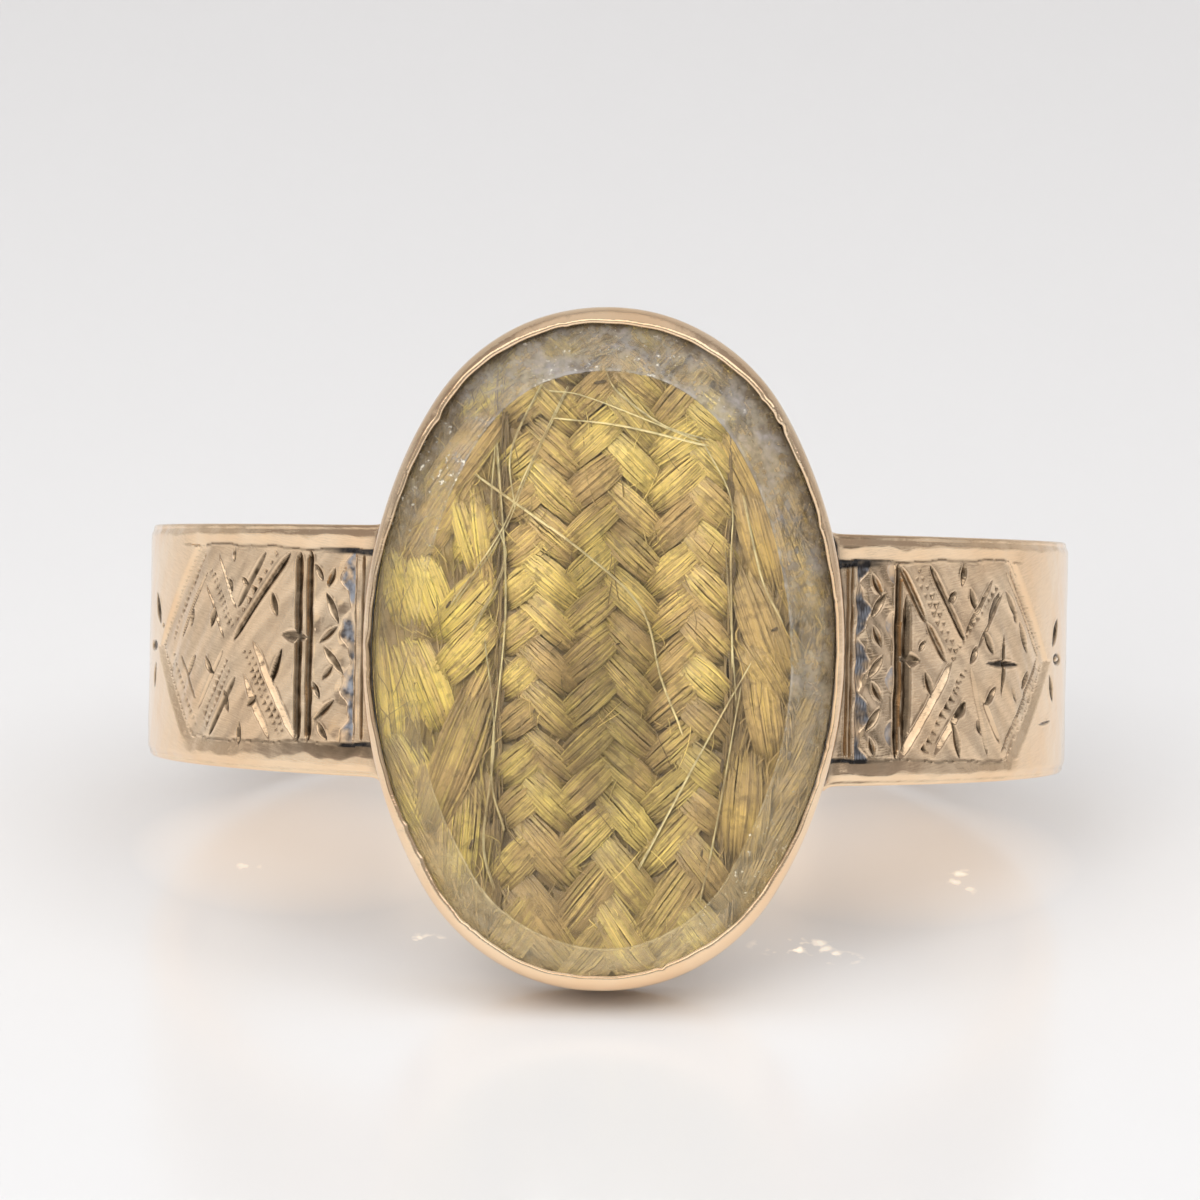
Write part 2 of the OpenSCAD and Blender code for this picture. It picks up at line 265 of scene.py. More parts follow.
# Bundles of the side plaits: both ends in the head's frame, the width and how high the bundle
# lies in the layer (0 at the bottom, 1 on top)
LEFT_BUNDLES = [
    (-4.6, 2.2, -3.95, 0.2, 0.8, 0.5),
    (-4.7, 0.4, -4.3, -2.6, 0.7, 0.45),
    (-4.1, 2.0, -3.4, 0.2, 0.8, 0.7),
    (-3.75, 0.15, -2.3, 1.75, 0.85, 0.9),
    (-3.3, 1.8, -2.35, 3.1, 0.7, 0.75),
    (-4.25, 0.2, -3.4, -1.9, 0.9, 0.75),
    (-3.6, -0.75, -2.35, 0.6, 0.8, 1.0),
    (-4.6, -1.8, -3.35, -4.2, 1.0, 0.7),
    (-3.75, -4.0, -2.6, -0.9, 1.0, 1.0),
    (-3.3, -2.2, -2.4, -0.2, 0.5, 0.6),
    (-3.1, -5.4, -2.9, -2.6, 0.7, 0.7),
    (-4.1, -3.4, -2.9, -5.6, 0.8, 0.5),
    (-4.3, 1.6, -2.9, 3.9, 0.7, 0.7),
    (-3.9, 2.9, -2.2, 5.2, 0.7, 0.8),
    (-3.4, 3.5, -2.7, 1.4, 0.5, 0.8),
    (-2.9, 3.6, -2.5, 0.7, 0.4, 0.9),
    (-3.2, 4.6, -1.6, 6.1, 0.7, 0.6),
]
RIGHT_BUNDLES = [
    (2.3, 5.2, 3.5, 2.9, 0.7, 0.8),
    (2.9, 4.9, 4.2, 2.4, 0.7, 0.6),
    (2.9, 3.8, 3.7, 1.2, 0.8, 0.9),
    (3.5, 3.0, 4.6, 0.4, 0.8, 0.6),
    (2.9, 1.9, 4.0, -0.9, 0.9, 0.9),
    (4.7, 0.7, 4.2, -0.9, 0.6, 0.4),
    (3.0, 0.3, 4.0, -1.2, 0.7, 1.0),
    (3.3, -0.1, 3.7, -2.4, 0.8, 1.0),
    (3.6, -2.9, 4.6, -0.6, 0.6, 0.6),
    (3.4, -3.6, 4.5, -1.9, 0.7, 0.5),
    (3.1, -2.1, 2.95, -4.6, 0.9, 1.0),
    (3.2, -4.6, 4.2, -2.9, 0.6, 0.45),
    (2.9, -5.3, 3.7, -3.5, 0.6, 0.5),
]

# The film under the bevel, by the direction from the oval's middle: the direction in degrees from
# the right, how thick the film is and how many painted glints it has
FILM = [
    (0, 0.42, 0.1),
    (35, 0.5, 0.2),
    (62, 0.6, 0.4),
    (90, 0.55, 0.6),
    (112, 0.4, 0.35),
    (125, 0.3, 0.4),
    (133, 0.35, 1.2),
    (146, 0.3, 0.8),
    (157, 0.15, 0.3),
    (178, 0.06, 0.1),
    (205, 0.12, 0.05),
    (232, 0.34, 0.1),
    (255, 0.34, 0.1),
    (285, 0.3, 0.2),
    (312, 0.26, 0.9),
    (335, 0.26, 0.3),
    (360, 0.42, 0.1),
]

# Single hairs that lie loose on the plaits: their points, then how bright each is
LOOSE_HAIRS = [
    ([(-2.9, 3.75), (-0.4, 2.0), (0.8, 0.85), (1.25, -0.65), (1.75, -1.85)], 0.95),
    ([(-1.2, 5.0), (0.3, 4.85), (2.15, 4.45)], 1.0),
    ([(-1.3, 5.6), (-0.4, 5.45), (2.0, 4.55)], 0.9),
    ([(-0.9, 5.7), (-1.75, 3.85), (-2.3, 2.5), (-3.35, 0.9)], 0.8),
    ([(-2.4, 4.45), (-2.15, 0.9), (-2.4, -2.6), (-2.1, -4.0)], 0.6),
    ([(2.1, 4.5), (2.7, 3.3), (2.72, 1.9), (2.8, -0.35)], 0.75),
    ([(3.2, -0.25), (2.35, -1.85), (0.85, -4.8)], 0.7),
    ([(3.0, -0.75), (2.5, -3.9), (2.2, -5.4)], 0.6),
    ([(-1.4, 5.9), (-2.1, 4.3), (-2.0, 3.0)], 0.7),
    ([(-2.1, 5.75), (-1.2, 6.1), (0.2, 6.7)], 0.65),
    ([(-2.6, 5.4), (-1.0, 6.0), (0.35, 6.45)], 0.55),
    ([(2.15, 4.6), (1.2, 4.9), (0.2, 5.6), (-0.1, 6.1)], 0.7),
    ([(-2.45, 4.4), (-2.5, 3.0), (-2.2, 1.9), (-2.9, 0.3)], 0.6),
    ([(-2.6, 0.2), (-2.35, -2.0), (-2.55, -4.2), (-2.3, -5.3)], 0.5),
    ([(2.95, 3.4), (3.4, 1.6), (3.9, 0.6)], 0.8),
    ([(2.6, 2.2), (2.75, 0.6), (2.9, -1.1)], 0.5),
]

# Dark grains of dirt on the hair: where each is, then its reach along, its lean and its thickness
GRAINS = [
    (4.1, -0.5, 0.1, 0.8, 0.13),
    (4.66, -0.62, 0.13, 1.2, 0.15),
    (3.9, -2.2, 0.1, 1.4, 0.1),
    (2.62, -2.5, 0.16, 1.5, 0.1),
    (2.6, -2.95, 0.1, 1.4, 0.08),
    (2.2, -4.5, 0.2, 1.4, 0.09),
    (-2.8, -4.3, 0.12, 1.2, 0.1),
    (4.0, 2.2, 0.08, 1.5, 0.1),
    (2.8, 1.75, 0.2, 1.5, 0.1),
    (2.75, 1.1, 0.2, 1.6, 0.08),
    (-1.9, 5.0, 0.14, 0.9, 0.1),
    (-0.2, 5.8, 0.14, 0.2, 0.09),
    (-2.2, 2.2, 0.12, 1.3, 0.07),
    (-3.4, 0.9, 0.1, 1.0, 0.07),
    (3.7, 0.5, 0.08, 0.6, 0.07),
    (0.3, 0.1, 0.05, 0.4, 0.06),
    (-1.5, -1.4, 0.06, 1.3, 0.06),
]

# Glints that the gold throws on the floor: where each lies, to the right and back, and its reach
# across and in depth
GLINTS = [
    (4.3, -6.1, 1.1, 0.9),
    (5.3, -6.9, 0.6, 0.6),
    (-3.9, -6.1, 0.6, 0.6),
    (-8.0, -0.4, 0.3, 0.7),
    (8.1, -0.5, 0.4, 1.4),
]

# Each side plait: the seed of its random draws, its bundles and how light it is
SIDE_PLAITS = {"left": (31, LEFT_BUNDLES, 1.22), "right": (41, RIGHT_BUNDLES, 1.0)}

# Lamps: where each stands and the point that it faces, in metres, its width and its power
LAMPS = {
    "overhead": ((0.05, -0.2, 0.5), (0, 0, 0), 0.9, 1.8),
    "front_fill": ((-0.12, -0.4, 0.2), (0, 0, 0.01), 0.2, 0.58),
}

# The camera: how far it stands from the head's face and how wide it sees there, in millimetres,
# the point of the head that it faces, and its angles in degrees
CAMERA = SimpleNamespace(
    distance=300.0, field=26.04, u=-0.098, v=1.074, elevation=14.6, azimuth=0.5, roll=1.0
)


def size(label, description, mm, **more):
    """A length for the sidebar, given here in millimetres."""
    return FloatProperty(
        name=label,
        description=description,
        default=mm / MM_IN_M,
        unit="LENGTH",
        precision=5,
        min=0.0,
        **more,
    )


def colour(label, description, rgb):
    """A colour for the sidebar."""
    return FloatVectorProperty(
        name=label, description=description, default=rgb, subtype="COLOR", min=0.0, max=1.0
    )


def share(label, description, value):
    """A part of a whole, for the sidebar."""
    return FloatProperty(
        name=label, description=description, default=value, subtype="FACTOR", min=0.0, max=1.0
    )


class RingBand(bpy.types.PropertyGroup):
    """Sizes of the band and its engraved panels."""

    finger_r: size("Finger radius", "Radius of the finger hole", FINGER["dims"]["r_mm"])
    band_t: size("Thickness", "Thickness of the band's metal", 0.9)
    band_front_w: size("Front width", "Width of the band behind the bezel", 5.6)
    band_back_w: size("Back width", "Width of the band at the back of the finger", 4.7)
    edge_round: size("Edge rounding", "Wear of the band's edges", 0.12)
    edge_slope_w: size("Edge slope", "Width of the slope along each edge", 0.26)
    edge_drop: size("Edge drop", "How far the slope falls to the edge", 0.1)
    rail_slope_w: size("Rail slope", "Width of the rail's slope towards the panel", 0.3)
    rail_slope: size("Rail drop", "How far the rail falls towards the panel", 0.075)
    panel_depth: size("Panel depth", "Depth of the panels below the rails", 0.08)
    step_w: size("Step width", "Width of the step from a rail down to the panel", 0.07)
    upper_facet_w: size("Upper facet", "Width of the bright cut over the panel's point", 0.12)
    lower_facet_w: size("Lower facet", "Width of the bright cut under the panel's point", 0.3)
    burr: share("Burr", "Height of the raised lips of a cut, as a share of its depth", 0.2)


class RingHead(bpy.types.PropertyGroup):
    """Sizes of the bezel and the glass."""

    oval_w: size("Oval width", "Width of the oval over the rim", 10.5)
    oval_h: size("Oval height", "Height of the oval over the rim", 14.9)
    oval_end_r: size("End radius", "Radius of the oval's two ends", 4.4)
    head_up: size("Offset", "How far the oval's middle sits above the band's middle", 0.2)
    bezel_wall: size("Wall", "Thickness of the bezel's wall", 0.2)
    ledge_w: size("Ledge", "Width of the ledge that carries the glass", 0.15)
    floor_t: size("Floor", "Metal between the band's outer face and the hair", 0.4)
    saddle_gap: size("Saddle gap", "How far the head's back stands off the finger", 0.3)
    rim_t: size("Rim height", "Height of the rim above the glass's edge", 0.26)
    rim_round: size("Rim slope", "Least drop of the rim's sloping face", 0.2)
    lip_round: size("Lip rounding", "Rounding of the rim's inner edge", 0.08)
    lip_side: size("Lip at the sides", "Width of the rim at the oval's sides", 0.18)
    lip_end: size("Lip at the ends", "Width of the rim at the oval's ends", 0.36)
    fillet: size("Solder fillet", "Height of the solder where the band meets the bezel", 0.12)
    glass_edge_t: size("Glass edge", "Thickness of the glass at its edge", 0.65)
    glass_rise: size("Glass rise", "Height of the table above the glass's edge", 0.45)
    bevel_w: size("Bevel", "Width of the glass's bevel", 0.9)
    table_low: size("Table offset", "How far the table sits below the oval's middle", 0.2)
    glass_fit: size("Glass gap", "Gap between the glass and the metal round it", 0.03)


class RingHair(bpy.types.PropertyGroup):
    """Sizes of the plaits."""

    hair_t: size("Layer", "Thickness of the layer of plaits", 0.7)
    hair_gap: size("Gap", "Gap between the hair and what lies next to it", 0.05)
    hair_d: size("Hair", "Thickness of one hair of the middle plait", 0.042)
    fine_d: size("Side hair", "Thickness of one hair of the side plaits", 0.042)
    stray_d: size("Stray hair", "Thickness of a stray hair", 0.026)
    centre_w: size("Middle plait", "Width of the middle plait", 4.9)
    centre_shift: size("Middle offset", "How far the middle plait lies to the right", 0.24)
    pitch: size("Pitch", "Height from one float to the next in the middle plait", 0.96)
    float_w: size("Float width", "Width of one float of the middle plait", 0.7)
    dip: size("Dip", "How far a float's ends go under its neighbours", 0.3)
    density: IntProperty(
        name="Density", description="Hairs on a millimetre of a float's width", default=66, min=8
    )


class RingColours(bpy.types.PropertyGroup):
    """Colours of the metal, the hair, the glass's haze and the floor."""

    gold: colour("Gold", "The polished gold", (0.92, 0.66, 0.42))
    gold_pale: colour("Worn gold", "The gold where wear has left it paler", (0.95, 0.73, 0.5))
    # This dark colour is both the tarnish and the painted shade in corners and hollows
    tarnish_and_shade: colour("Tarnish", "Old dirt in the cuts", (0.06, 0.04, 0.022))
    soot_and_shade: colour("Soot", "Dark grains of the film beside the bezel", (0.1, 0.09, 0.09))
    soot_pale: colour("Pale soot", "Pale grains of the film beside the bezel", (0.4, 0.42, 0.47))
    # The darkest hair, also the colour of the painted shade in the furrows and gaps
    hair_dark: colour("Hair, dark", "The hair in the furrows", (0.12, 0.075, 0.03))
    hair_light: colour("Hair, light", "The hair on the crowns", (0.96, 0.7, 0.18))
    hair_brown: colour("Hair, brown", "The browner floats", (0.6, 0.385, 0.14))
    left_light: colour("Left hair", "The crowns of the left plait", (0.92, 0.68, 0.15))
    loose_light: colour("Loose hairs", "The single hairs on top", (1.0, 0.82, 0.4))
    right_light: colour("Right hair", "The crowns of the right plait", (0.8, 0.52, 0.13))
    haze: colour("Haze", "The milky film under the bevel", (0.38, 0.33, 0.235))
    haze_lilac: colour("Cool haze", "The cooler patches of the film", (0.37, 0.345, 0.33))
    haze_gold: colour("Golden haze", "The film low on the glass", (0.6, 0.48, 0.27))
    # Brown haze also colours the rim's painted shadow on the bevel
    haze_brown: colour("Brown haze", "The dirt that has crept in under the rim", (0.15, 0.115, 0.075))
    # The far floor's darker colour is painted shade
    floor_far: colour("Far floor", "The floor well behind the ring", (0.75, 0.75, 0.755))
    glow: colour("Glow", "Light that the band's inside throws on the floor", (0.2, 0.14, 0.085))
    floor: colour("Floor", "The pale floor and backdrop", (0.92, 0.925, 0.93))


SIZE_GROUPS = (("ring_band", RingBand), ("ring_head", RingHead), ("ring_hair", RingHair))
GROUPS = (*SIZE_GROUPS, ("ring_colours", RingColours))


def own_names(group):
    """The names of a group's own values, without the two that every group has."""
    return [name for name in group.bl_rna.properties.keys() if name not in ("rna_type", "name")]


def ring_sizes():
    """Every size in millimetres, and the ones that follow from them."""
    s = SimpleNamespace()
    for attribute, _ in SIZE_GROUPS:
        group = getattr(bpy.context.scene, attribute)
        for name in own_names(group):
            prop = group.bl_rna.properties[name]
            scale = MM_IN_M if getattr(prop, "unit", "NONE") == "LENGTH" else 1
            setattr(s, name, getattr(group, name) * scale)
    s.band_r = s.finger_r + s.band_t
    s.saddle_r = s.finger_r + s.saddle_gap
    s.mean_half = (s.band_front_w + s.band_back_w) / 4
    s.half_taper = (s.band_front_w - s.band_back_w) / (4 * s.band_r)
    s.half_w = s.oval_w / 2
    s.half_h = s.oval_h / 2
    s.end_y = s.half_h - s.oval_end_r
    s.side_r = (s.half_w**2 + s.end_y**2 - s.oval_end_r**2) / (2 * (s.half_w - s.oval_end_r))
    s.side_x = s.side_r - s.half_w
    s.side_angle = math.atan2(s.end_y, s.side_x)
    s.floor_h = s.band_r + s.floor_t
    s.hair_h = s.floor_h + s.hair_gap
    s.glass_h = s.hair_h + s.hair_t + s.hair_gap
    s.ledge_h = s.glass_h - s.glass_fit
    s.edge_h = s.glass_h + s.glass_edge_t
    s.table_h = s.edge_h + s.glass_rise
    s.rim_h = s.edge_h + s.rim_t
    s.glass_in = s.bezel_wall + s.glass_fit
    s.hair_in = s.bezel_wall + s.ledge_w + s.hair_gap
    s.hair_top = s.hair_h + s.hair_t
    s.centre_left = s.centre_shift - s.centre_w / 2
    s.centre_right = s.centre_shift + s.centre_w / 2
    return s


def placed(right, back, along):
    """Points given in millimetres from the finger's middle, in metres where the ring rests.

    Each point is the origin plus right, back and along times the ring's three directions.
    """
    right, back, along = np.broadcast_arrays(right, back, along)
    moves = right[..., None] * RIGHT + back[..., None] * BACK + along[..., None] * ALONG
    return ORIGIN + moves / MM_IN_M


def on_band(angle, radius, height):
    """Points round the finger: an angle in degrees from the head's middle, a radius, a height."""
    a = np.radians(angle)
    return placed(radius * np.sin(a), -radius * np.cos(a), height)


def on_head(u, v, w, s):
    """Points of the head: u to the right, v up from the oval's middle, w from the finger's axis."""
    return placed(u, -w, v + s.head_up)


def smooth(x):
    """0 below 0, 1 above 1, and 3x^2 - 2x^3 between."""
    x = np.clip(x, 0, 1)
    return x * x * (3 - 2 * x)


def ripple(x, *waves):
    """A hand-made wobble: the sum of sines, each given as its length, its reach and its start."""
    return sum(reach * np.sin(2 * np.pi * (x / length + start)) for length, reach, start in waves)


def grid_faces(rows, columns, round_rows=False, round_columns=False, start=0):
    """The quads of a grid of points, row by row, as an array of point numbers."""
    i = np.arange(rows if round_rows else rows - 1)
    j = np.arange(columns if round_columns else columns - 1)
    i, j = (a.ravel() for a in np.meshgrid(i, j, indexing="ij"))
    i2, j2 = (i + 1) % rows, (j + 1) % columns
    corners = (i * columns + j, i2 * columns + j, i2 * columns + j2, i * columns + j2)
    return np.stack(corners, -1) + start


def fan_faces(ring, middle):
    """Triangles from each side of a closed ring of point numbers to a middle point."""
    return np.stack([ring, np.roll(ring, -1), np.full_like(ring, middle)], -1)


def joined(parts):
    """Several (points, faces, values) as one, with the faces renumbered."""
    points, faces, values, start = [], [], [], 0
    for part_points, part_faces, part_values in parts:
        points.append(part_points)
        faces += [f + start for f in part_faces]
        values.append(part_values)
        start += len(part_points)
    names = values[0].keys()
    return np.concatenate(points), faces, {n: np.concatenate([v[n] for v in values]) for n in names}


def signed_volume(points, faces):
    """Six times the volume inside closed faces: positive if they turn outwards.

    It is the sum, over the triangles of each face, of the triple product of their corners.
    """
    total = 0.0
    for group in faces:
        for k in range(1, group.shape[1] - 1):
            a, b, c = points[group[:, 0]], points[group[:, k]], points[group[:, k + 1]]
            total += np.einsum("ij,ij->", a, np.cross(b, c))
    return total


def put_piece(name, surface, finish, nodes, sharp):
    """Makes a closed piece from points in metres, lists of equal-sided faces and point values.

    Edges that turn by more than sharp, in degrees, are shaded as edges.
    """
    points, faces, values = surface
    old = bpy.data.objects.get(name)
    if old:
        bpy.data.objects.remove(old)
    points = points.reshape(-1, 3)
    if signed_volume(points - points.mean(0), faces) < 0:
        faces = [f[:, ::-1] for f in faces]
    mesh = bpy.data.meshes.new(name)
    mesh.vertices.add(len(points))
    mesh.vertices.foreach_set("co", points.astype(np.float32).ravel())
    loops = np.concatenate([f.ravel() for f in faces]).astype(np.int32)
    sides = np.concatenate([np.full(len(f), f.shape[1]) for f in faces])
    mesh.loops.add(len(loops))
    mesh.loops.foreach_set("vertex_index", loops)
    mesh.polygons.add(len(sides))
    mesh.polygons.foreach_set("loop_start", (np.cumsum(sides) - sides).astype(np.int32))
    mesh.polygons.foreach_set("use_smooth", np.ones(len(sides), bool))
    mesh.update(calc_edges=True)
    if mesh.validate():
        raise RuntimeError(f"{name} had faces that Blender had to mend")
    mesh.set_sharp_from_angle(angle=math.radians(sharp))
    for key, value in values.items():
        layer = mesh.attributes.new(key, "FLOAT", "POINT")
        layer.data.foreach_set("value", np.asarray(value, np.float32).ravel())
    piece = bpy.data.objects.new(name, mesh)
    bpy.context.scene.collection.objects.link(piece)
    mesh.materials.append(finish)
    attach(piece, "root")
    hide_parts(*nodes)


# Surfaces of the gold


def oval_turns(count, s):
    """Directions square to the oval at points evenly spaced along it, in radians.

    The oval is two flat side arcs and two end arcs, and a direction's share of the way round is
    the length of arc that it has passed.
    """
    side = s.side_r * s.side_angle
    end = s.oval_end_r * (math.pi / 2 - s.side_angle)
    passed = np.cumsum([0, side, end, end, side, side, end, end, side])
    a = s.side_angle
    turns = [0, a, math.pi / 2, math.pi - a, math.pi, math.pi + a, 1.5 * math.pi]
    turns += [2 * math.pi - a, 2 * math.pi]
    return np.interp(np.arange(count) / count * passed[-1], passed, turns)


def oval_points(turn, inset, s):
    """The oval moved in by inset, at the points whose outward direction is turn.

    A side arc's point is its centre plus its radius along the direction, and so is an end arc's.
    """
    c, n = np.cos(turn), np.sin(turn)
    on_side = np.abs(n) < math.sin(s.side_angle)
    r = np.where(on_side, s.side_r, s.oval_end_r) - inset
    u = r * c - np.where(on_side, np.sign(c) * s.side_x, 0)
    v = r * n + np.where(on_side, 0, np.sign(n) * s.end_y)
    return u, v


def oval_distance(u, v, s):
    """How far points lie outside the oval: the distance to the nearer arc's centre less its radius."""
    u, v = np.abs(u), np.abs(v)
    on_side = np.arctan2(v, u + s.side_x) < s.side_angle
    to_side = np.hypot(u + s.side_x, v) - s.side_r
    to_end = np.hypot(u, v - s.end_y) - s.oval_end_r
    return np.where(on_side, to_side, to_end)


def line_frame(angle, height, row, s):
    """Where points lie along and across a line on the band, and the line's length."""
    x = (angle - row[0]) * math.pi / 180 * s.band_r
    y = height - row[1]
    dx, dy = (row[2] - row[0]) * math.pi / 180 * s.band_r, row[3] - row[1]
    length = math.hypot(dx, dy)
    return (x * dx + y * dy) / length, (y * dx - x * dy) / length, length


def cut_relief(angle, height, cuts, s):
    """Depth of the graver's cuts, the burr thrown up beside them, and their tarnish with painted shade.

    A cut is a V whose floor leans to one side. Its half width is its own half width times
    1 - |x|^evenness, where x goes from -1 to 1 along the cut, and its depth shrinks as its width.
    """
    lip_place, lip_reach = 1.25, 0.3
    bold_soil_and_shade, bold_share, fine_share = 0.65, 0.8, 0.3
    depth, burr, soil_and_shade = (np.zeros_like(height) for _ in range(3))
    for row in cuts:
        width, deep, evenness, lean, dirt_and_shade = row[4:]
        along, across, length = line_frame(angle, height, row, s)
        near = (np.abs(across) < width) & (along > 0) & (along < length)
        swell = 1 - np.abs(2 * along[near] / length - 1) ** evenness
        q = across[near] / (np.maximum(swell, 0.15) * width / 2)
        side = np.where(q > lean, 1 - lean, 1 + lean)
        wall = np.clip(1 - np.abs(q - lean) / side, 0, 1)
        depth[near] = np.maximum(depth[near], wall * deep * swell)
        lip = np.exp(-(((np.abs(q) - lip_place) / lip_reach) ** 2)) * deep * swell * s.burr
        burr[near] = np.maximum(burr[near], lip)
        # The wall that the sign picks gets the whole amount, tarnish with painted shade, the other a
        # share
        wider = (q < lean) == (lean > 0)
        other = bold_share if dirt_and_shade > bold_soil_and_shade else fine_share
        amount = np.where(wider == (dirt_and_shade > 0), 1.0, other) * abs(dirt_and_shade) * smooth(3 * swell)
        soil_and_shade[near] = np.maximum(soil_and_shade[near], amount * np.clip(3 * wall, 0, 1))
    return depth, burr, soil_and_shade


def mark_relief(angle, height, marks, s):
    """Depth of rows of three-sided punch marks.

    The row is folded onto one step, and a mark's depth falls from its middle to its three sides.
    Each mark sits a little off its place, by the sine of its number.
    """
    depth = np.zeros_like(height)
    for row in marks:
        step, reach, off = row[4:]
        along, across, length = line_frame(angle, height, row, s)
        inside = (along > 0) & (along < length) & (np.abs(across - off) < 3 * reach)
        number = np.round(along[inside] / step)
        x = along[inside] - number * step + 0.1 * step * np.sin(12.9 * number)
        y = across[inside] - off + 0.25 * reach * np.sin(7.7 * number)
        reach = reach * (0.85 + 0.2 * np.sin(5.1 * number + off))
        sides = np.maximum(-y, y / 2 + np.abs(x) * math.sqrt(0.75))
        pit = np.clip(1 - sides / (1.2 * reach), 0, 1) * reach
        depth[inside] = np.maximum(depth[inside], pit)
    return depth


def scoop_relief(angle, height, scoops, dots, s):
    """Depth of the scooped hollows, cones over ellipses, and of the drilled dots and rings.

    A dot is a round-edged hole, and a ring is the same less a smaller dot in its middle.
    """
    depth, holes = np.zeros_like(height), np.zeros_like(height)
    for a, h, reach, rise, deep in scoops:
        x = (angle - a) * math.pi / 180 * s.band_r
        depth = np.maximum(depth, deep * np.clip(1 - np.hypot(x / reach, (height - h) / rise), 0, 1))
    for a, h, reach, rise, core in dots:
        x = (angle - a) * math.pi / 180 * s.band_r
        r = np.hypot(x / reach, (height - h) / rise)
        holes = np.maximum(holes, smooth(2.5 * (1 - r)) * (1 - smooth(2.5 * (1 - r / max(core, 0.01)))))
    return depth, holes


def panel_distances(angle, height, shoulder, s):
    """How far points lie inside the panel's rails, its upper facet and its lower facet."""
    wobble = ripple(angle, (11, 0.02, 0.1), (4.3, 0.01, 0.6), (27, 0.02, 0.3))
    top = shoulder.top + wobble - height
    low = height - (shoulder.low - wobble)
    point = shoulder.point
    upper = (shoulder.corners[0], shoulder.top + 0.15, *point)
    lower = (*point, shoulder.corners[1], shoulder.low - 0.3)
    return top, low, -line_frame(angle, height, upper, s)[1], -line_frame(angle, height, lower, s)[1]


def film_zone(angle, height, scallop):
    """The dull scalloped strip beside the bezel: 1 up to a wavy line, a sum of two sines, then 0."""
    length, start = scallop
    strip_start, strip_end = 32.5, 33.9
    line = strip_end + ripple(height, (length, 0.75, start), (0.41, 0.2, 0.0))
    return smooth((line - angle) / 0.25) * smooth((angle - strip_start) / 0.15)


def moon_zone(angle, height):
    """Half-moons beside the first upright groove: 1 from a row of half sine waves to the groove."""
    groove, moon_reach, moon_step, moon_start = 38.1, 1.1, 1.2, -0.233
    waves = np.maximum(0, np.sin(2 * math.pi * (height / moon_step + moon_start)))
    edge = groove - 0.15 - moon_reach * waves
    return smooth((angle - edge) / 0.15) * smooth((groove - angle) / 0.1)


def rail_slope_w(angle, s):
    """Width of the rails' slope towards the panel, which varies a little round the finger."""
    return s.rail_slope_w + ripple(angle, (9, 0.04, 0.3), (3.7, 0.02, 0.1))


def plain_relief(angle, height, half, distances, shoulder, s):
    """How far the band's face stands out before it is engraved.

    The rails slope off to the band's edges and step down to the panel, whose pointed end is
    framed by two flat facets.
    """
    top, low, upper, lower = distances
    inside = np.minimum(np.minimum(top, low), np.minimum(upper, lower))
    floor = -s.panel_depth * smooth(inside / s.step_w + 0.5)
    beyond = np.where(upper < lower, upper, lower)
    facet_w = np.where(upper < lower, s.upper_facet_w, s.lower_facet_w)
    framing = (beyond < 0) & (np.minimum(top, low) > -0.03)
    facet = -s.panel_depth * np.clip(1 + beyond / facet_w, 0, 1) * framing
    over_rail = np.maximum(-top, -low)
    beside = smooth((shoulder.point[0] - 8 - angle) / 4)
    fall = np.clip(1 - over_rail / rail_slope_w(angle, s), 0, 1)
    shed = -s.rail_slope * fall * beside * (over_rail > 0)
    edge = half - np.abs(height) + ripple(angle, (13, 0.015, 0.4), (5.1, 0.01, 0.2))
    rounding = s.edge_drop * (1 - smooth(edge / s.edge_slope_w))
    return np.minimum(floor, np.minimum(facet, shed)) - rounding


def hammering(angle, height, inside):
    """The waves of a hand-hammered face, a quarter as high outside the panel."""
    waves = ripple(angle + 4 * height, (7.3, 0.009, 0.2), (3.1, 0.005, 0.5), (1.7, 0.0012, 0.1))
    waves += ripple(height + angle / 9, (1.9, 0.008, 0.1), (0.83, 0.004, 0.7))
    return waves * (smooth(inside / 0.1) * 0.75 + 0.25)


def corner_shade_and_tarnish(angle, distances, shoulder, s):
    """Black painted shade, with tarnish, under the rails beside the bezel, and brown painted shade on
    the steps and on the lower rail.
    """
    top, low = distances[:2]
    near = smooth((40 - angle) / 7)
    black = smooth(2 - 2 * (top - 0.02) / (shoulder.recess * near + 0.02)) * (top > -0.02) * near
    black += smooth(2 - 2 * low / (0.07 * near + 0.01)) * (low > -0.04) * smooth((36.5 - angle) / 3)
    step = np.exp(-((np.minimum(top, low) / 0.04) ** 2)) * (angle < shoulder.corners[0])
    fall = np.clip(1 + low / rail_slope_w(angle, s), 0, 1) ** 0.3
    lower_rail = (low < 0) * fall * smooth((60 - angle) / 30)
    return black, np.maximum(0.55 * step, shoulder.lower_rail_shade * lower_rail)


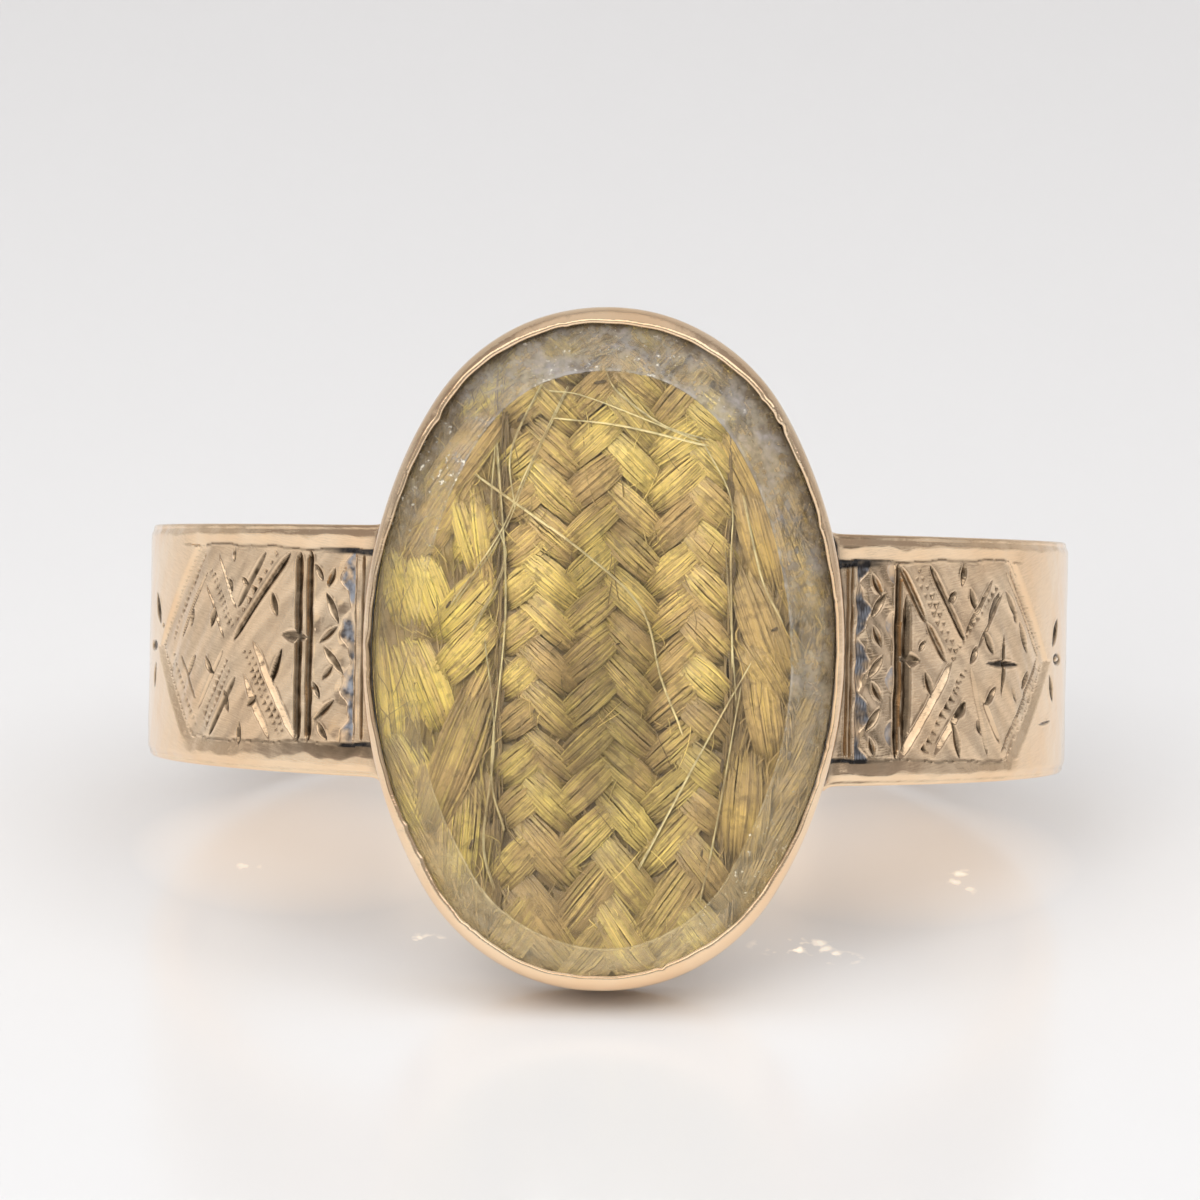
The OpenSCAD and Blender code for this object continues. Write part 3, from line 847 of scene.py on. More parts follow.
def band_relief(angle, height, half, shoulder, s):
    """How far the band's outer face stands out from its plain radius, and its dirt and painted shade.

    The cuts, marks and hollows are sunk from the plain relief. Solder stands where the band
    meets the bezel, and falls off as exp(-distance).
    """
    v = height - s.head_up
    distances = panel_distances(angle, v, shoulder, s)
    inside = np.minimum.reduce(distances)
    cuts, burr, soil_and_shade = cut_relief(angle, v, shoulder.cuts, s)
    marks = mark_relief(angle, v, shoulder.marks, s)
    scoops, holes = scoop_relief(angle, v, shoulder.scoops, shoulder.dots, s)
    carved = np.maximum(np.maximum(cuts, marks), np.maximum(scoops, 0.06 * holes))
    front = np.radians(np.minimum(angle, 90))
    outside = np.clip(oval_distance(s.band_r * np.sin(front), v, s), 0, 9)
    film = film_zone(angle, v, shoulder.scallop) * (inside > 0)
    pitted = film * (0.03 + 0.3 * np.maximum(0, ripple(v + angle, (0.37, 0.02, 0), (0.23, 0.02, 0.3))))
    moon = moon_zone(angle, v) * shoulder.moons * (inside > 0)
    out = plain_relief(angle, height, half, distances, shoulder, s)
    out -= 0.04 * moon * np.clip((angle - 36.8) / 1.3, 0, 1)
    out += np.where(carved > 0.004, 0, burr) - carved + hammering(angle, height, inside)
    out += s.fillet * np.exp(-outside / 0.07) - pitted
    black, brown = corner_shade_and_tarnish(angle, distances, shoulder, s)
    smudged = smooth(0.5 + 9 * ripple(angle + 7 * v, (7.9, 0.04, 0.2), (3.3, 0.03, 0.5)))
    smudges = (0.05 + 0.2 * smudged) * smooth(inside / 0.06)
    pits = np.maximum(0.9 * np.clip(marks / 0.05, 0, 1), holes)
    patchy = 0.6 + 12 * ripple(v + 2 * angle, (0.9, 0.02, 0.4), (0.37, 0.02, 0.1))
    # black: painted shade with tarnish under the rails, the film's dark grains, and painted shade in
    # the crease against the bezel
    black = black + shoulder.soot_and_shade * film * patchy + np.exp(-outside / 0.09)
    dirt_and_shade = {
        # cut: tarnish in the cuts and marks, smudges, and the brown painted shade on the steps and
        # lower rail
        "cut": np.clip(np.maximum.reduce([soil_and_shade, pits, brown, smudges]), 0, 1),
        "film": np.maximum(film, moon),
        "black": np.clip(black, 0, 1),
    }
    return out, dirt_and_shade


def band_half(side, s):
    """One half of the band, from the middle of the front round to the back of the finger.

    Its section, a closed ring of rows, is the outer face with its relief, a rounded edge, the
    side, the inner rounding and the inner face, and is carried round the finger.
    """
    shoulder = SHOULDERS[side]
    outer_rows, inner_rows, worn_rows = 184, 12, 6
    angle = np.concatenate([np.linspace(*stretch) for stretch in STRETCHES])
    half = s.mean_half + s.half_taper * s.band_r * np.cos(np.radians(angle))
    front = np.radians(np.minimum(angle, 90))
    near = oval_distance(s.band_r * np.sin(front), half - s.head_up, s)
    half = half + 0.1 * np.exp(-np.clip(near, 0, 9) / 0.08)
    height = np.linspace(-1, 1, outer_rows)[:, None] * (half - s.edge_round)
    relief, dirt_and_shade = band_relief(angle[None, :] + 0 * height, height, half, shoulder, s)
    radius = s.band_r + relief
    worn = np.radians(np.linspace(0, 90, worn_rows + 1)[1:])[:, None]
    inner = np.radians(np.linspace(0, 90, 5))[:, None]

    def edge(sign, drop):
        rounding = s.band_r - s.edge_round * (1 - np.cos(worn)) + drop * np.cos(worn) ** 2
        rise = half - s.edge_round * (1 - np.sin(worn))
        back = s.finger_r + s.edge_round * (1 - np.sin(inner)) + 0 * half
        reach = half - s.edge_round * (1 - np.cos(inner))
        return np.concatenate([rounding, back]), sign * np.concatenate([rise, reach])

    top_r, top_h = edge(1, relief[-1])
    low_r, low_h = edge(-1, relief[0])
    inner_h = np.linspace(1, -1, inner_rows + 2)[1:-1, None] * (half - s.edge_round)
    rows_r = np.concatenate([radius, top_r, s.finger_r + 0 * inner_h, low_r[::-1]])
    rows_h = np.concatenate([height, top_h, inner_h, low_h[::-1]])
    rows, columns = rows_r.shape
    points = on_band(shoulder.sign * angle, rows_r, rows_h).reshape(-1, 3)
    values = {}
    for key, value in dirt_and_shade.items():
        full = np.zeros_like(rows_r)
        full[: len(value)] = value
        values[key] = full.ravel()
    faces = [grid_faces(rows, columns, round_rows=True)]
    for column in (0, columns - 1):
        ring = np.arange(rows) * columns + column
        if column == 0:
            ring = ring[::-1]
        points = np.vstack([points, points[ring].mean(0)])
        values = {k: np.append(v, 0.0) for k, v in values.items()}
        faces.append(fan_faces(ring, len(points) - 1))
    return points, faces, values


def nicks(way, rng, count, reaches, widths, both_ways):
    """Small bumps at random places of the oval, each its reach times exp(-(distance / width)^2)."""
    total = np.zeros_like(way)
    places, reaches = rng.uniform(0, ROUND, count), rng.uniform(*reaches, count)
    for place, reach in zip(places, reaches):
        gap = np.abs((way - place + ROUND / 2) % ROUND - ROUND / 2)
        bump = reach * np.exp(-((gap / rng.uniform(*widths)) ** 2))
        total += bump * rng.choice([-1, 1]) if both_ways else bump
    return total


def capped_rings(rings, first_w, last_w, values, s):
    """Rings of head points of one count, closed by fans to a middle point at each end."""
    rings = np.array(rings)
    count, around = rings.shape[:2]
    poles = on_head(np.zeros(2), np.zeros(2), np.array([first_w, last_w]), s)
    points = np.vstack([rings.reshape(-1, 3), poles])
    first, last = np.arange(around)[::-1], np.arange(around) + (count - 1) * around
    faces = [
        grid_faces(count, around, round_columns=True),
        fan_faces(first, count * around),
        fan_faces(last, count * around + 1),
    ]
    values = {k: np.concatenate([v.ravel(), [0.0, 0.0]]) for k, v in values.items()}
    return points, faces, values


def bezel_surface(s):
    """The bezel: one profile carried round the oval, from the saddle's middle to the floor's.

    Each ring is the oval moved in by a distance and lifted to a height. The back follows the
    finger's cylinder, w = sqrt(r^2 - u^2), and the rim's lip is wider at the oval's ends.
    """
    around = 900
    turn = oval_turns(around, s)
    way = np.linspace(0, ROUND, around, endpoint=False)
    at_end = np.abs(np.sin(turn)) ** 1.2
    lip = s.lip_side + (s.lip_end - s.lip_side) * at_end
    lip += ripple(way, (8, 0.02, 0.15), (2.5, 0.01, 0.4), (0.8, 0.005, 0.7))
    lip += nicks(way, np.random.default_rng(11), 18, (0.01, 0.04), (0.05, 0.16), True)
    wave = ripple(way, (10, 0.02, 0.3), (3.3, 0.008, 0.1))
    crest = s.rim_h + ripple(way, (5, 0.012, 0.6), (1.7, 0.008, 0.2), (0.6, 0.003, 0.9))
    # Each ring's darkness is painted shade: some under the head's back, more in the crease against the
    # band, most down the rim's inner wall and on the cup's floor under the hair
    rings, soot_and_shade = [], []

    def ring(inset, height, dirt_and_shade):
        u, v = oval_points(turn, inset, s)
        rings.append(on_head(u, v, height + 0 * u, s))
        soot_and_shade.append(dirt_and_shade + 0 * u)

    def saddle(scale, dirt_and_shade):
        u, v = (scale * p for p in oval_points(turn, 0, s))
        rings.append(on_head(u, v, np.sqrt(s.saddle_r**2 - u**2), s))
        soot_and_shade.append(dirt_and_shade + 0 * u)

    for scale in (0.05, 0.2, 0.4, 0.6, 0.75, 0.87, 0.95, 0.985):
        saddle(scale, 0.25)
    u0, v0 = oval_points(turn, 0, s)
    back = np.sqrt(s.saddle_r**2 - u0**2)
    on_band_edge = np.abs(v0 + s.head_up) - s.mean_half
    for k in (0.0, 0.02, 0.1, 0.2, 0.3, 0.4, 0.5, 0.6, 0.7, 0.8, 0.88, 0.94):
        height = back + (crest - s.rim_round - 0.65 * lip - back) * k
        outer = s.band_r - np.hypot(u0, height)
        joint = np.exp(-((outer / 0.16) ** 2)) * (on_band_edge < 0.1)
        joint += np.exp(-((on_band_edge / 0.1) ** 2)) * (np.hypot(u0, height) < s.band_r)
        ring(0.03 * (k == 0) + wave * 0.5, height, np.clip(joint, 0, 1) * 0.8)
    reach = lip - s.lip_round
    drop = s.rim_round + 0.65 * lip
    sweep = math.radians(45)
    for a in np.linspace(0, sweep, 9):
        inset = reach * (1 - math.cos(a)) / (1 - math.cos(sweep))
        ring(inset + wave * 0.5, crest - drop * (1 - math.sin(a) / math.sin(sweep)), 0.0)
    for a in np.radians((35, 65, 90)):
        ring(lip - s.lip_round * (1 - math.sin(a)), crest - s.lip_round * 0.6 * (1 - np.cos(a)), 0.0)
    slope = (s.glass_rise / s.bevel_w) * (lip - s.glass_in)
    seat = s.edge_h + s.glass_fit
    low = seat + np.maximum(slope, 0)
    for k in (0.15, 0.4, 0.7, 1.0):
        start = crest - 0.7 * s.lip_round
        ring(lip, start + (low - start) * k, 0.5 * k)
    ring(np.minimum(lip, s.bezel_wall + 0.02), seat, 0.9)
    ring(s.bezel_wall, s.edge_h, 0.9)
    ring(s.bezel_wall, s.ledge_h, 0.9)
    ring(s.bezel_wall + s.ledge_w, s.ledge_h, 0.9)
    ring(s.bezel_wall + s.ledge_w, s.floor_h, 0.9)
    for inset in (1.0, 2.4, 3.8):
        ring(inset, s.floor_h, 0.9)
    soot_and_shade = np.array(soot_and_shade)
    values = {"cut": soot_and_shade * 0.8, "film": 0 * soot_and_shade, "black": soot_and_shade * 0.6}
    return capped_rings(rings, s.saddle_r, s.floor_h, values, s)


def glass_surface(s):
    """The glass: a flat back, a straight side, a wide bevel and a flat table set a little low.

    Each ring is the oval moved in by a distance. On the bevel the rings move from the oval to the
    table's own oval, and its corners are cut by fine chamfers with small chips.
    """
    around = 480
    turn = oval_turns(around, s)
    way = np.linspace(0, ROUND, around, endpoint=False)
    chips = nicks(way, np.random.default_rng(5), 34, (0.01, 0.05), (0.04, 0.12), False)
    table_in = s.glass_in + s.bevel_w + ripple(way, (9, 0.02, 0.2), (3.7, 0.01, 0.5))
    directions, films, painted_glints = np.array(FILM).T
    toward = np.degrees(np.arctan2(*reversed(oval_points(turn, 0, s)))) % 360
    film_round = np.interp(toward, directions, films)
    painted_glint_round = np.interp(toward, directions, painted_glints)
    # Painted shadow of the rim, with grime, along the bevel's outer edge, strongest at the top and
    # right
    rim_shadow_and_grime_round = 0.35 + 0.65 * smooth(0.5 + 0.8 * np.sin(np.radians(toward + 20)))
    rings, film, painted_glint, rim_shadow_and_grime = [], [], [], []

    def ring(inset, height, low, amount, shadow_and_grime=0.0):
        u, v = oval_points(turn, inset, s)
        rings.append(on_head(u, v - low, height + 0 * u, s))
        film.append(film_round * amount)
        painted_glint.append(painted_glint_round * amount)
        rim_shadow_and_grime.append(rim_shadow_and_grime_round * shadow_and_grime)

    for inset in (4.0, 2.5, 1.2, 0.5):
        ring(inset, s.glass_h, 0, 0)
    ring(s.glass_in + 0.03, s.glass_h, 0, 0.3)
    ring(s.glass_in, s.glass_h + 0.03, 0, 0.3)
    ring(s.glass_in, s.edge_h - 0.02, 0, 0.6, 1.0)
    for k in (0.02, 0.1, 0.2, 0.3, 0.42, 0.6, 0.8, 0.97):
        height = s.edge_h + s.glass_rise * k
        inset = s.glass_in + (table_in - s.glass_in) * k
        ring(inset, height, s.table_low * k, 0.7 + 0.3 * k, max(0.0, 1 - 2.4 * k))
    # The table's edge: thick film and painted glints, a painted highlight along it
    ring(table_in + 0.03 + 0.3 * chips, s.table_h, s.table_low, 1.8)
    for inset, amount in ((0.06, 0.1), (0.5, 0.04), (1.3, 0.02), (2.3, 0)):
        ring(table_in + inset + 0.3 * chips, s.table_h, s.table_low, amount)
    values = {"film": np.array(film), "painted_glint": np.array(painted_glint), "rim_shadow_and_grime": np.array(rim_shadow_and_grime)}
    return capped_rings(rings, s.glass_h, s.table_h, values, s)


# Surfaces of the hair


def strands(paths, radius, tone, warm, s, sides=4):
    """Round hairs along many paths at once.

    A ring of points stands square to each path point, and both ends are closed. The radius falls
    to a third at the ends.
    """
    count, length = paths.shape[:2]
    along = np.gradient(paths, axis=1)
    along /= np.linalg.norm(along, axis=2, keepdims=True)
    across = np.cross(along, [0.0, 0.0, 1.0])
    across /= np.linalg.norm(across, axis=2, keepdims=True)
    over = np.cross(across, along)
    turn = 2 * np.pi * (np.arange(sides) + 0.5) / sides
    ring = across[:, :, None] * np.cos(turn)[:, None] + over[:, :, None] * np.sin(turn)[:, None]
    thin = np.ones(length)
    thin[[0, -1]] = 0.35
    points = paths[:, :, None] + ring * (radius[:, None] * thin)[:, :, None, None]
    flat = points.reshape(-1, 3)
    one = grid_faces(length, sides, round_columns=True)
    starts = np.arange(count)[:, None, None] * length * sides
    quads = (one + starts).reshape(-1, 4)
    caps = np.stack([np.arange(sides)[::-1], np.arange(sides) + (length - 1) * sides])
    caps = (caps + starts).reshape(-1, sides)
    values = {
        "tone": np.broadcast_to(tone[:, :, None], points.shape[:3]).ravel(),
        "warm": np.broadcast_to(warm[:, None, None], points.shape[:3]).ravel(),
    }
    return on_head(flat[:, 0], flat[:, 1], flat[:, 2], s), [quads, caps], values


def kept_in(paths, s, margin=0.04):
    """Moves path points that leave the hair's oval back to it, and holds them in its layer."""
    u, v = paths[..., 0], paths[..., 1]
    out = oval_distance(u, v, s) + s.hair_in + margin
    shrink = 1 - np.clip(out, 0, None) / np.maximum(np.hypot(u, v), 1)
    paths[..., 0], paths[..., 1] = u * shrink, v * shrink
    paths[..., 2] = np.clip(paths[..., 2], s.hair_h + 0.05, s.hair_top - 0.03)
    return paths


class Hairs:
    """Gathers the hairs of one plait: their paths, thickness, lightness and warmth."""

    def __init__(self, s, seed):
        self.s = s
        self.rng = np.random.default_rng(seed)
        self.rows = []

    def bundle(self, start, end, width, high, thick, dip, belly, rings=6, lit=1.0):
        """One float: hairs side by side from start to end.

        Across the float the hairs lie on an arch, sqrt(1 - q^2), and along it they rise from
        under the neighbours and go down again, as 1 - x^4, each at a slight angle of its own.
        """
        rng = self.rng
        start, end = np.array(start), np.array(end)
        length = np.linalg.norm(end - start)
        step = (end - start) / length
        aside = np.array([-step[1], step[0]])
        hairs = max(6, int(width * self.s.density))
        x = np.linspace(-1, 1, rings)[None, :]
        q = (np.linspace(-1, 1, hairs) + rng.uniform(-1.5, 1.5, hairs) / hairs)[:, None]
        q = np.clip(q, -1, 1)
        way = x * length / 2 + rng.uniform(-0.04, 0.04, (hairs, 1)) * length
        off = q * width / 2 * (1 - 0.32 * x**2)
        off = off + rng.uniform(-0.04, 0.04, (hairs, 1)) * x
        off = off + rng.uniform(-0.025, 0.025, (hairs, 1)) * (1 - x**2)
        middle = (start + end) / 2
        u = middle[0] + way * step[0] + off * aside[0]
        v = middle[1] + way * step[1] + off * aside[1]
        arch = np.sqrt(1 - 0.92 * q**2)
        layer = rng.choice([0.0, -0.7, -1.4], (hairs, 1), p=[0.5, 0.3, 0.2]) * thick
        w = high + belly * (arch - 1) - dip * np.abs(x) ** 4 + layer
        # The tone carries a painted sheen along some hairs, and painted shade towards the float's ends,
        # where it goes under, and its sides
        sheen = rng.uniform(0, 0.3, (hairs, 1)) * np.exp(-(((x - rng.uniform(-0.2, 0.2)) / 0.4) ** 2))
        tone = rng.uniform(0.52, 0.98, (hairs, 1)) * (1 - 0.65 * np.abs(x) ** 3) + sheen
        tone = tone * (0.72 + 0.28 * arch) * rng.uniform(0.88, 1.06) * lit
        warm = rng.uniform(-0.3, 0.5, hairs) + rng.uniform(0.0, 0.75)
        self.add(np.stack([u, v, w + 0 * u], -1), thick, tone, warm)

    def filler(self, left, right, count):
        """Hairs of the lower layer that show in the gaps: straight, and nearly upright."""
        rng = self.rng
        x = np.linspace(-1, 1, 6)[None, :]
        u = rng.uniform(left, right, (count, 1)) + rng.uniform(-0.4, 0.4, (count, 1)) * x
        v = rng.uniform(-6.7, 6.7, (count, 1)) + rng.uniform(0.7, 1.3, (count, 1)) * x
        w = self.s.hair_h + rng.uniform(0.3, 0.48, (count, 1)) + 0 * x
        u = np.clip(u, left + 0.05, right - 0.05)
        # The lower layer gets a low tone: painted shade under the floats
        tone = rng.uniform(0.25, 0.6, (count, 1)) + 0 * x
        self.add(np.stack([u, v, w], -1), self.s.fine_d, tone, rng.uniform(0.2, 1.0, count))

    def frizz(self, left, right, count):
        """Fine stray hairs on top of the plait, each a shallow arc, u = u0 + ax + b(1 - x^2)."""
        rng = self.rng
        x = np.linspace(-1, 1, 5)[None, :]
        turn = rng.uniform(-1.1, 1.1, (count, 1))
        long = rng.uniform(0.12, 0.6, (count, 1))
        bend = rng.normal(0, 0.09, (count, 1)) * (1 - x**2)
        u = rng.uniform(left + 0.1, right - 0.1, (count, 1)) + long * np.sin(turn) * x + bend
        v = rng.uniform(-6.7, 6.7, (count, 1)) + long * np.cos(turn) * x
        w = self.s.hair_top - rng.uniform(0.03, 0.16, (count, 1)) - 0.08 * x**2 + 0 * v
        tone = rng.uniform(0.2, 1.0, (count, 1)) + 0 * x
        self.add(np.stack([u, v, w], -1), self.s.stray_d, tone, rng.uniform(0.1, 1.0, count))

    def add(self, paths, thick, tone, warm):
        """Keeps paths of one kind, as hairs of about one thickness."""
        radius = thick / 2 * self.rng.uniform(0.8, 1.15, len(paths))
        self.rows.append((kept_in(paths, self.s), radius, tone, warm))

    def surface(self):
        """All the hairs as one surface."""
        parts = []
        for length in sorted({row[0].shape[1] for row in self.rows}):
            rows = [row for row in self.rows if row[0].shape[1] == length]
            parts.append(strands(*(np.concatenate(k) for k in zip(*rows)), self.s))
        return joined(parts)


def pad_surface(left, right, s, rows=90, columns=24):
    """The bed of hair under a plait: a closed slab between two lines, inside the oval.

    Its face is ruffled by two crossing waves, sin(au + bv) and sin(au - bv).
    """
    turn = oval_turns(720, s)
    u0, v0 = oval_points(turn, s.hair_in, s)
    top = np.max(np.abs(v0[(u0 > left) & (u0 < right)])) * 0.995
    v = np.linspace(-top, top, rows)[:, None]
    upper = (v0 > 0) & (u0 > 0)
    half = np.interp(np.abs(v), v0[upper], u0[upper])
    low, high = np.maximum(left, -half), np.minimum(right, half)
    u = low + (np.maximum(high, low + 0.02) - low) * np.linspace(0, 1, columns)[None, :]
    v = v + 0 * u
    ruffle = 0.04 * (np.sin(7 * u + 6 * v) + np.sin(7 * u - 6 * v))
    face = s.hair_h + 0.5 * s.hair_t + ruffle
    bottom = np.full_like(u, s.hair_h + 0.01)
    points = np.vstack([np.stack([u, v, w], -1).reshape(-1, 3) for w in (face, bottom)])
    n = rows * columns
    edge = np.concatenate(
        [
            np.arange(columns),
            np.arange(1, rows) * columns + columns - 1,
            (rows - 1) * columns + np.arange(columns - 2, -1, -1),
            np.arange(rows - 2, 0, -1) * columns,
        ]
    )
    after = np.roll(edge, -1)
    sheet = grid_faces(rows, columns)
    faces = [sheet, sheet[:, ::-1] + n, np.stack([edge, edge + n, after + n, after], -1)]
    # The bed's low tone is painted shade in the gaps between the floats
    values = {"tone": np.full(2 * n, 0.38), "warm": np.full(2 * n, 0.8)}
    return on_head(points[:, 0], points[:, 1], points[:, 2], s), faces, values


def centre_hair_surface(s):
    """The middle plait: floats in six columns that slant up and down by turns.

    A float's ends lie under the floats of the columns beside it. Towards the lower end the plait
    was drawn tighter, so the floats grow longer and steeper there.
    """
    hairs = Hairs(s, 21)
    rng = hairs.rng
    reach = s.half_h - s.hair_in - 0.1
    for place, half, slant, start in CENTRE_COLUMNS:
        middle = s.centre_shift + place * s.centre_w
        for k in range(-9, 9):
            v = (start + k) * s.pitch
            low = float(smooth((-v - 3.2) / 2.2))
            v = v - low * 0.35 * (abs(v) - 3.2) * (v < -3.2)
            if abs(v) > reach:
                continue
            loose = float(smooth((v - 4.2) / 1.2))
            rise = math.tan(math.radians(43 + 12 * low + rng.uniform(-3, 3) * (1 + 2 * loose)))
            wide = half * s.centre_w * (1.2 + 0.2 * low + rng.uniform(-0.05, 0.05))
            shift = rng.uniform(-0.04, 0.04) * (1 + 3 * loose)
            a = (middle - wide, v - slant * wide * rise + shift)
            b = (middle + wide, v + slant * wide * rise + shift)
            high = s.hair_top - 0.05 - rng.uniform(0, 0.05)
            width = s.float_w * (1 + rng.uniform(-0.08, 0.08) + 0.25 * low)
            lit = 1.1 - 0.42 * float(smooth((1.0 - v) / 3)) - 0.2 * float(smooth((v - 3.5) / 2))
            hairs.bundle(a, b, width, high, s.hair_d, s.dip, 0.08, lit=lit)
    hairs.filler(s.centre_left, s.centre_right, 200)
    hairs.frizz(s.centre_left, s.centre_right, 240)
    return joined([pad_surface(s.centre_left, s.centre_right, s), hairs.surface()])


def side_hair_surface(side, s):
    """A side plait: coarse bundles laid over each other, each on its own course."""
    seed, rows, light = SIDE_PLAITS[side]
    hairs = Hairs(s, seed)
    left, right = -s.half_w + s.hair_in, s.centre_left - s.hair_gap
    if side == "right":
        left, right = s.centre_right + s.hair_gap, s.half_w - s.hair_in
    hairs.filler(left, right, 260)
    for u, v, to_u, to_v, width, level in rows:
        high = s.hair_h + 0.3 + (s.hair_t - 0.36) * level
        lit = light * (1 - 0.34 * float(smooth(-v / 3)))
        hairs.bundle((u, v), (to_u, to_v), width, high, s.fine_d, 0.28, 0.14, 9, lit)
    hairs.frizz(left, right, 130)
    return joined([pad_surface(left, right, s, columns=14), hairs.surface()])


def smooth_course(points, steps):
    """A curve through given points: each stretch is the cubic that leaves and meets them evenly."""
    p = np.array(points)
    before, after = np.vstack([2 * p[:1] - p[1:2], p[:-1]]), np.vstack([p[1:], 2 * p[-1:] - p[-2:-1]])
    slope = (after - before) / 2
    t = np.linspace(0, len(p) - 1, steps)
    k = np.minimum(t.astype(int), len(p) - 2)
    x = (t - k)[:, None]
    a, b, da, db = p[k], p[k + 1], slope[k], slope[k + 1]
    return (
        a * (2 * x**3 - 3 * x**2 + 1)
        + da * (x**3 - 2 * x**2 + x)
        + b * (3 * x**2 - 2 * x**3)
        + db * (x**3 - x**2)
    )


def loose_hair_surface(s):
    """Single hairs across the plaits, dark upright hairs over the gaps between them as painted shade,
    and grains.
    """
    hairs = Hairs(s, 51)
    steps = 40
    way = np.linspace(0, 1, steps)
    for points, bright in LOOSE_HAIRS:
        for copy in range(2):
            start = hairs.rng.uniform(-0.03, 0.03, 2) * copy
            turned = hairs.rng.uniform(-0.05, 0.05, 2) * copy
            course = smooth_course(points, steps) + start + np.outer(way, turned)
            w = np.full(steps, s.hair_top - 0.03 - 0.015 * copy)
            wavering = ripple(way, (0.4, 0.15, hairs.rng.uniform()), (0.13, 0.06, 0.3))
            tone = bright * (0.85 + wavering) * (1 - 0.2 * copy)
            path = np.column_stack([course, w])[None]
            hairs.add(path, s.fine_d * 0.9, tone[None], np.full(1, 0.05))
    x = np.linspace(-1, 1, 5)
    count = 90
    # The hairs over the gaps between the plaits get a low tone: painted shade in the gaps
    for middle in (s.centre_left - s.hair_gap / 2, s.centre_right + s.hair_gap / 2):
        random = hairs.rng.uniform(-1, 1, (6, count, 1))
        u = middle + 0.09 * random[0] + 0.08 * random[1] * x
        v = 6.2 * random[2] + (0.8 + 0.3 * random[3]) * x
        w = s.hair_top - 0.2 + 0.08 * random[4] + 0 * x
        tone = 0.3 + 0.16 * random[5] + 0 * x
        hairs.add(np.stack([u, v, w], -1), s.fine_d, tone, np.full(count, 0.9))
    for u, v, reach, lean, thick in GRAINS:
        course = [u + reach * math.cos(lean) * x, v + reach * math.sin(lean) * x]
        path = np.stack([*course, s.hair_top - thick / 2 - 0.03 + 0 * x], -1)[None]
        hairs.add(path, thick, np.zeros((1, 5)), np.ones(1))
    return hairs.surface()


# Finishes


class Value:
    """A node's output, which adds Math nodes where it is added, multiplied and so on."""

    def __init__(self, nodes, socket):
        self.nodes = nodes
        self.socket = socket

    def maths(self, operation, a, b=0.0):
        """One Math node on two values or numbers."""
        return self.nodes.add("ShaderNodeMath", {"operation": operation}, {0: a, 1: b})

    def __add__(self, other):
        return self.maths("ADD", self, other)

    def __sub__(self, other):
        return self.maths("SUBTRACT", self, other)

    def __rsub__(self, other):
        return self.maths("SUBTRACT", other, self)

    def __mul__(self, other):
        return self.maths("MULTIPLY", self, other)

    def __truediv__(self, other):
        return self.maths("DIVIDE", self, other)

    __radd__ = __add__
    __rmul__ = __mul__

    def within(self, low=0.0, high=1.0):
        """The value mapped from low..high to 0..1 and held there."""
        sockets = {0: self, 1: low, 2: high}
        return self.nodes.add("ShaderNodeMapRange", {"clamp": True}, sockets)


class Nodes:
    """Adds nodes to a tree: their settings first, then the values or links of their sockets."""

    def __init__(self, tree):
        self.tree = tree
        tree.nodes.clear()

    def add(self, kind, settings=None, sockets=None, out=0):
        """Adds a node and gives its output as a Value."""
        node = self.tree.nodes.new(kind)
        for key, value in (settings or {}).items():
            setattr(node, key, value)
        for key, value in (sockets or {}).items():
            if isinstance(value, Value):
                self.tree.links.new(value.socket, node.inputs[key])
            else:
                node.inputs[key].default_value = value
        return Value(self, node.outputs[out]) if node.outputs else node

    def mix(self, factor, a, b):
        """A colour between two colours."""
        a, b = (c if isinstance(c, Value) else (*c, 1.0) for c in (a, b))
        return self.add("ShaderNodeMix", {"data_type": "RGBA"}, {0: factor, 6: a, 7: b}, 2)

    def point_value(self, name):
        """One of the mesh's own point values."""
        return self.add("ShaderNodeAttribute", {"attribute_name": name}, out="Fac")

    def place(self, axis, kind="Object"):
        """One coordinate of the shaded point, or of a ray's direction where kind is Generated."""
        where = self.add("ShaderNodeTexCoord", out=kind)
        return self.add("ShaderNodeSeparateXYZ", None, {0: where}, axis)

    def surface(self, sockets):
        """A surface with a colour, a roughness and so on."""
        return self.add("ShaderNodeBsdfPrincipled", None, sockets)

    def noise(self, scale, detail=3.0, stretch=None):
        """Noise in object space, with its scale in grains a metre."""
        where = self.add("ShaderNodeTexCoord", out="Object")
        if stretch:
            where = self.add("ShaderNodeMapping", None, {"Vector": where, "Scale": stretch})
        sockets = {"Vector": where, "Scale": scale, "Detail": detail}
        return self.add("ShaderNodeTexNoise", None, sockets)

    def finish(self, shader):
        """Sends a shader to the material's output."""
        self.add("ShaderNodeOutputMaterial", None, {"Surface": shader})


def new_finish(name):
    """An empty material and its nodes."""
    old = bpy.data.materials.get(name)
    if old:
        bpy.data.materials.remove(old)
    material = bpy.data.materials.new(name)
    material.use_nodes = True
    return material, Nodes(material.node_tree)


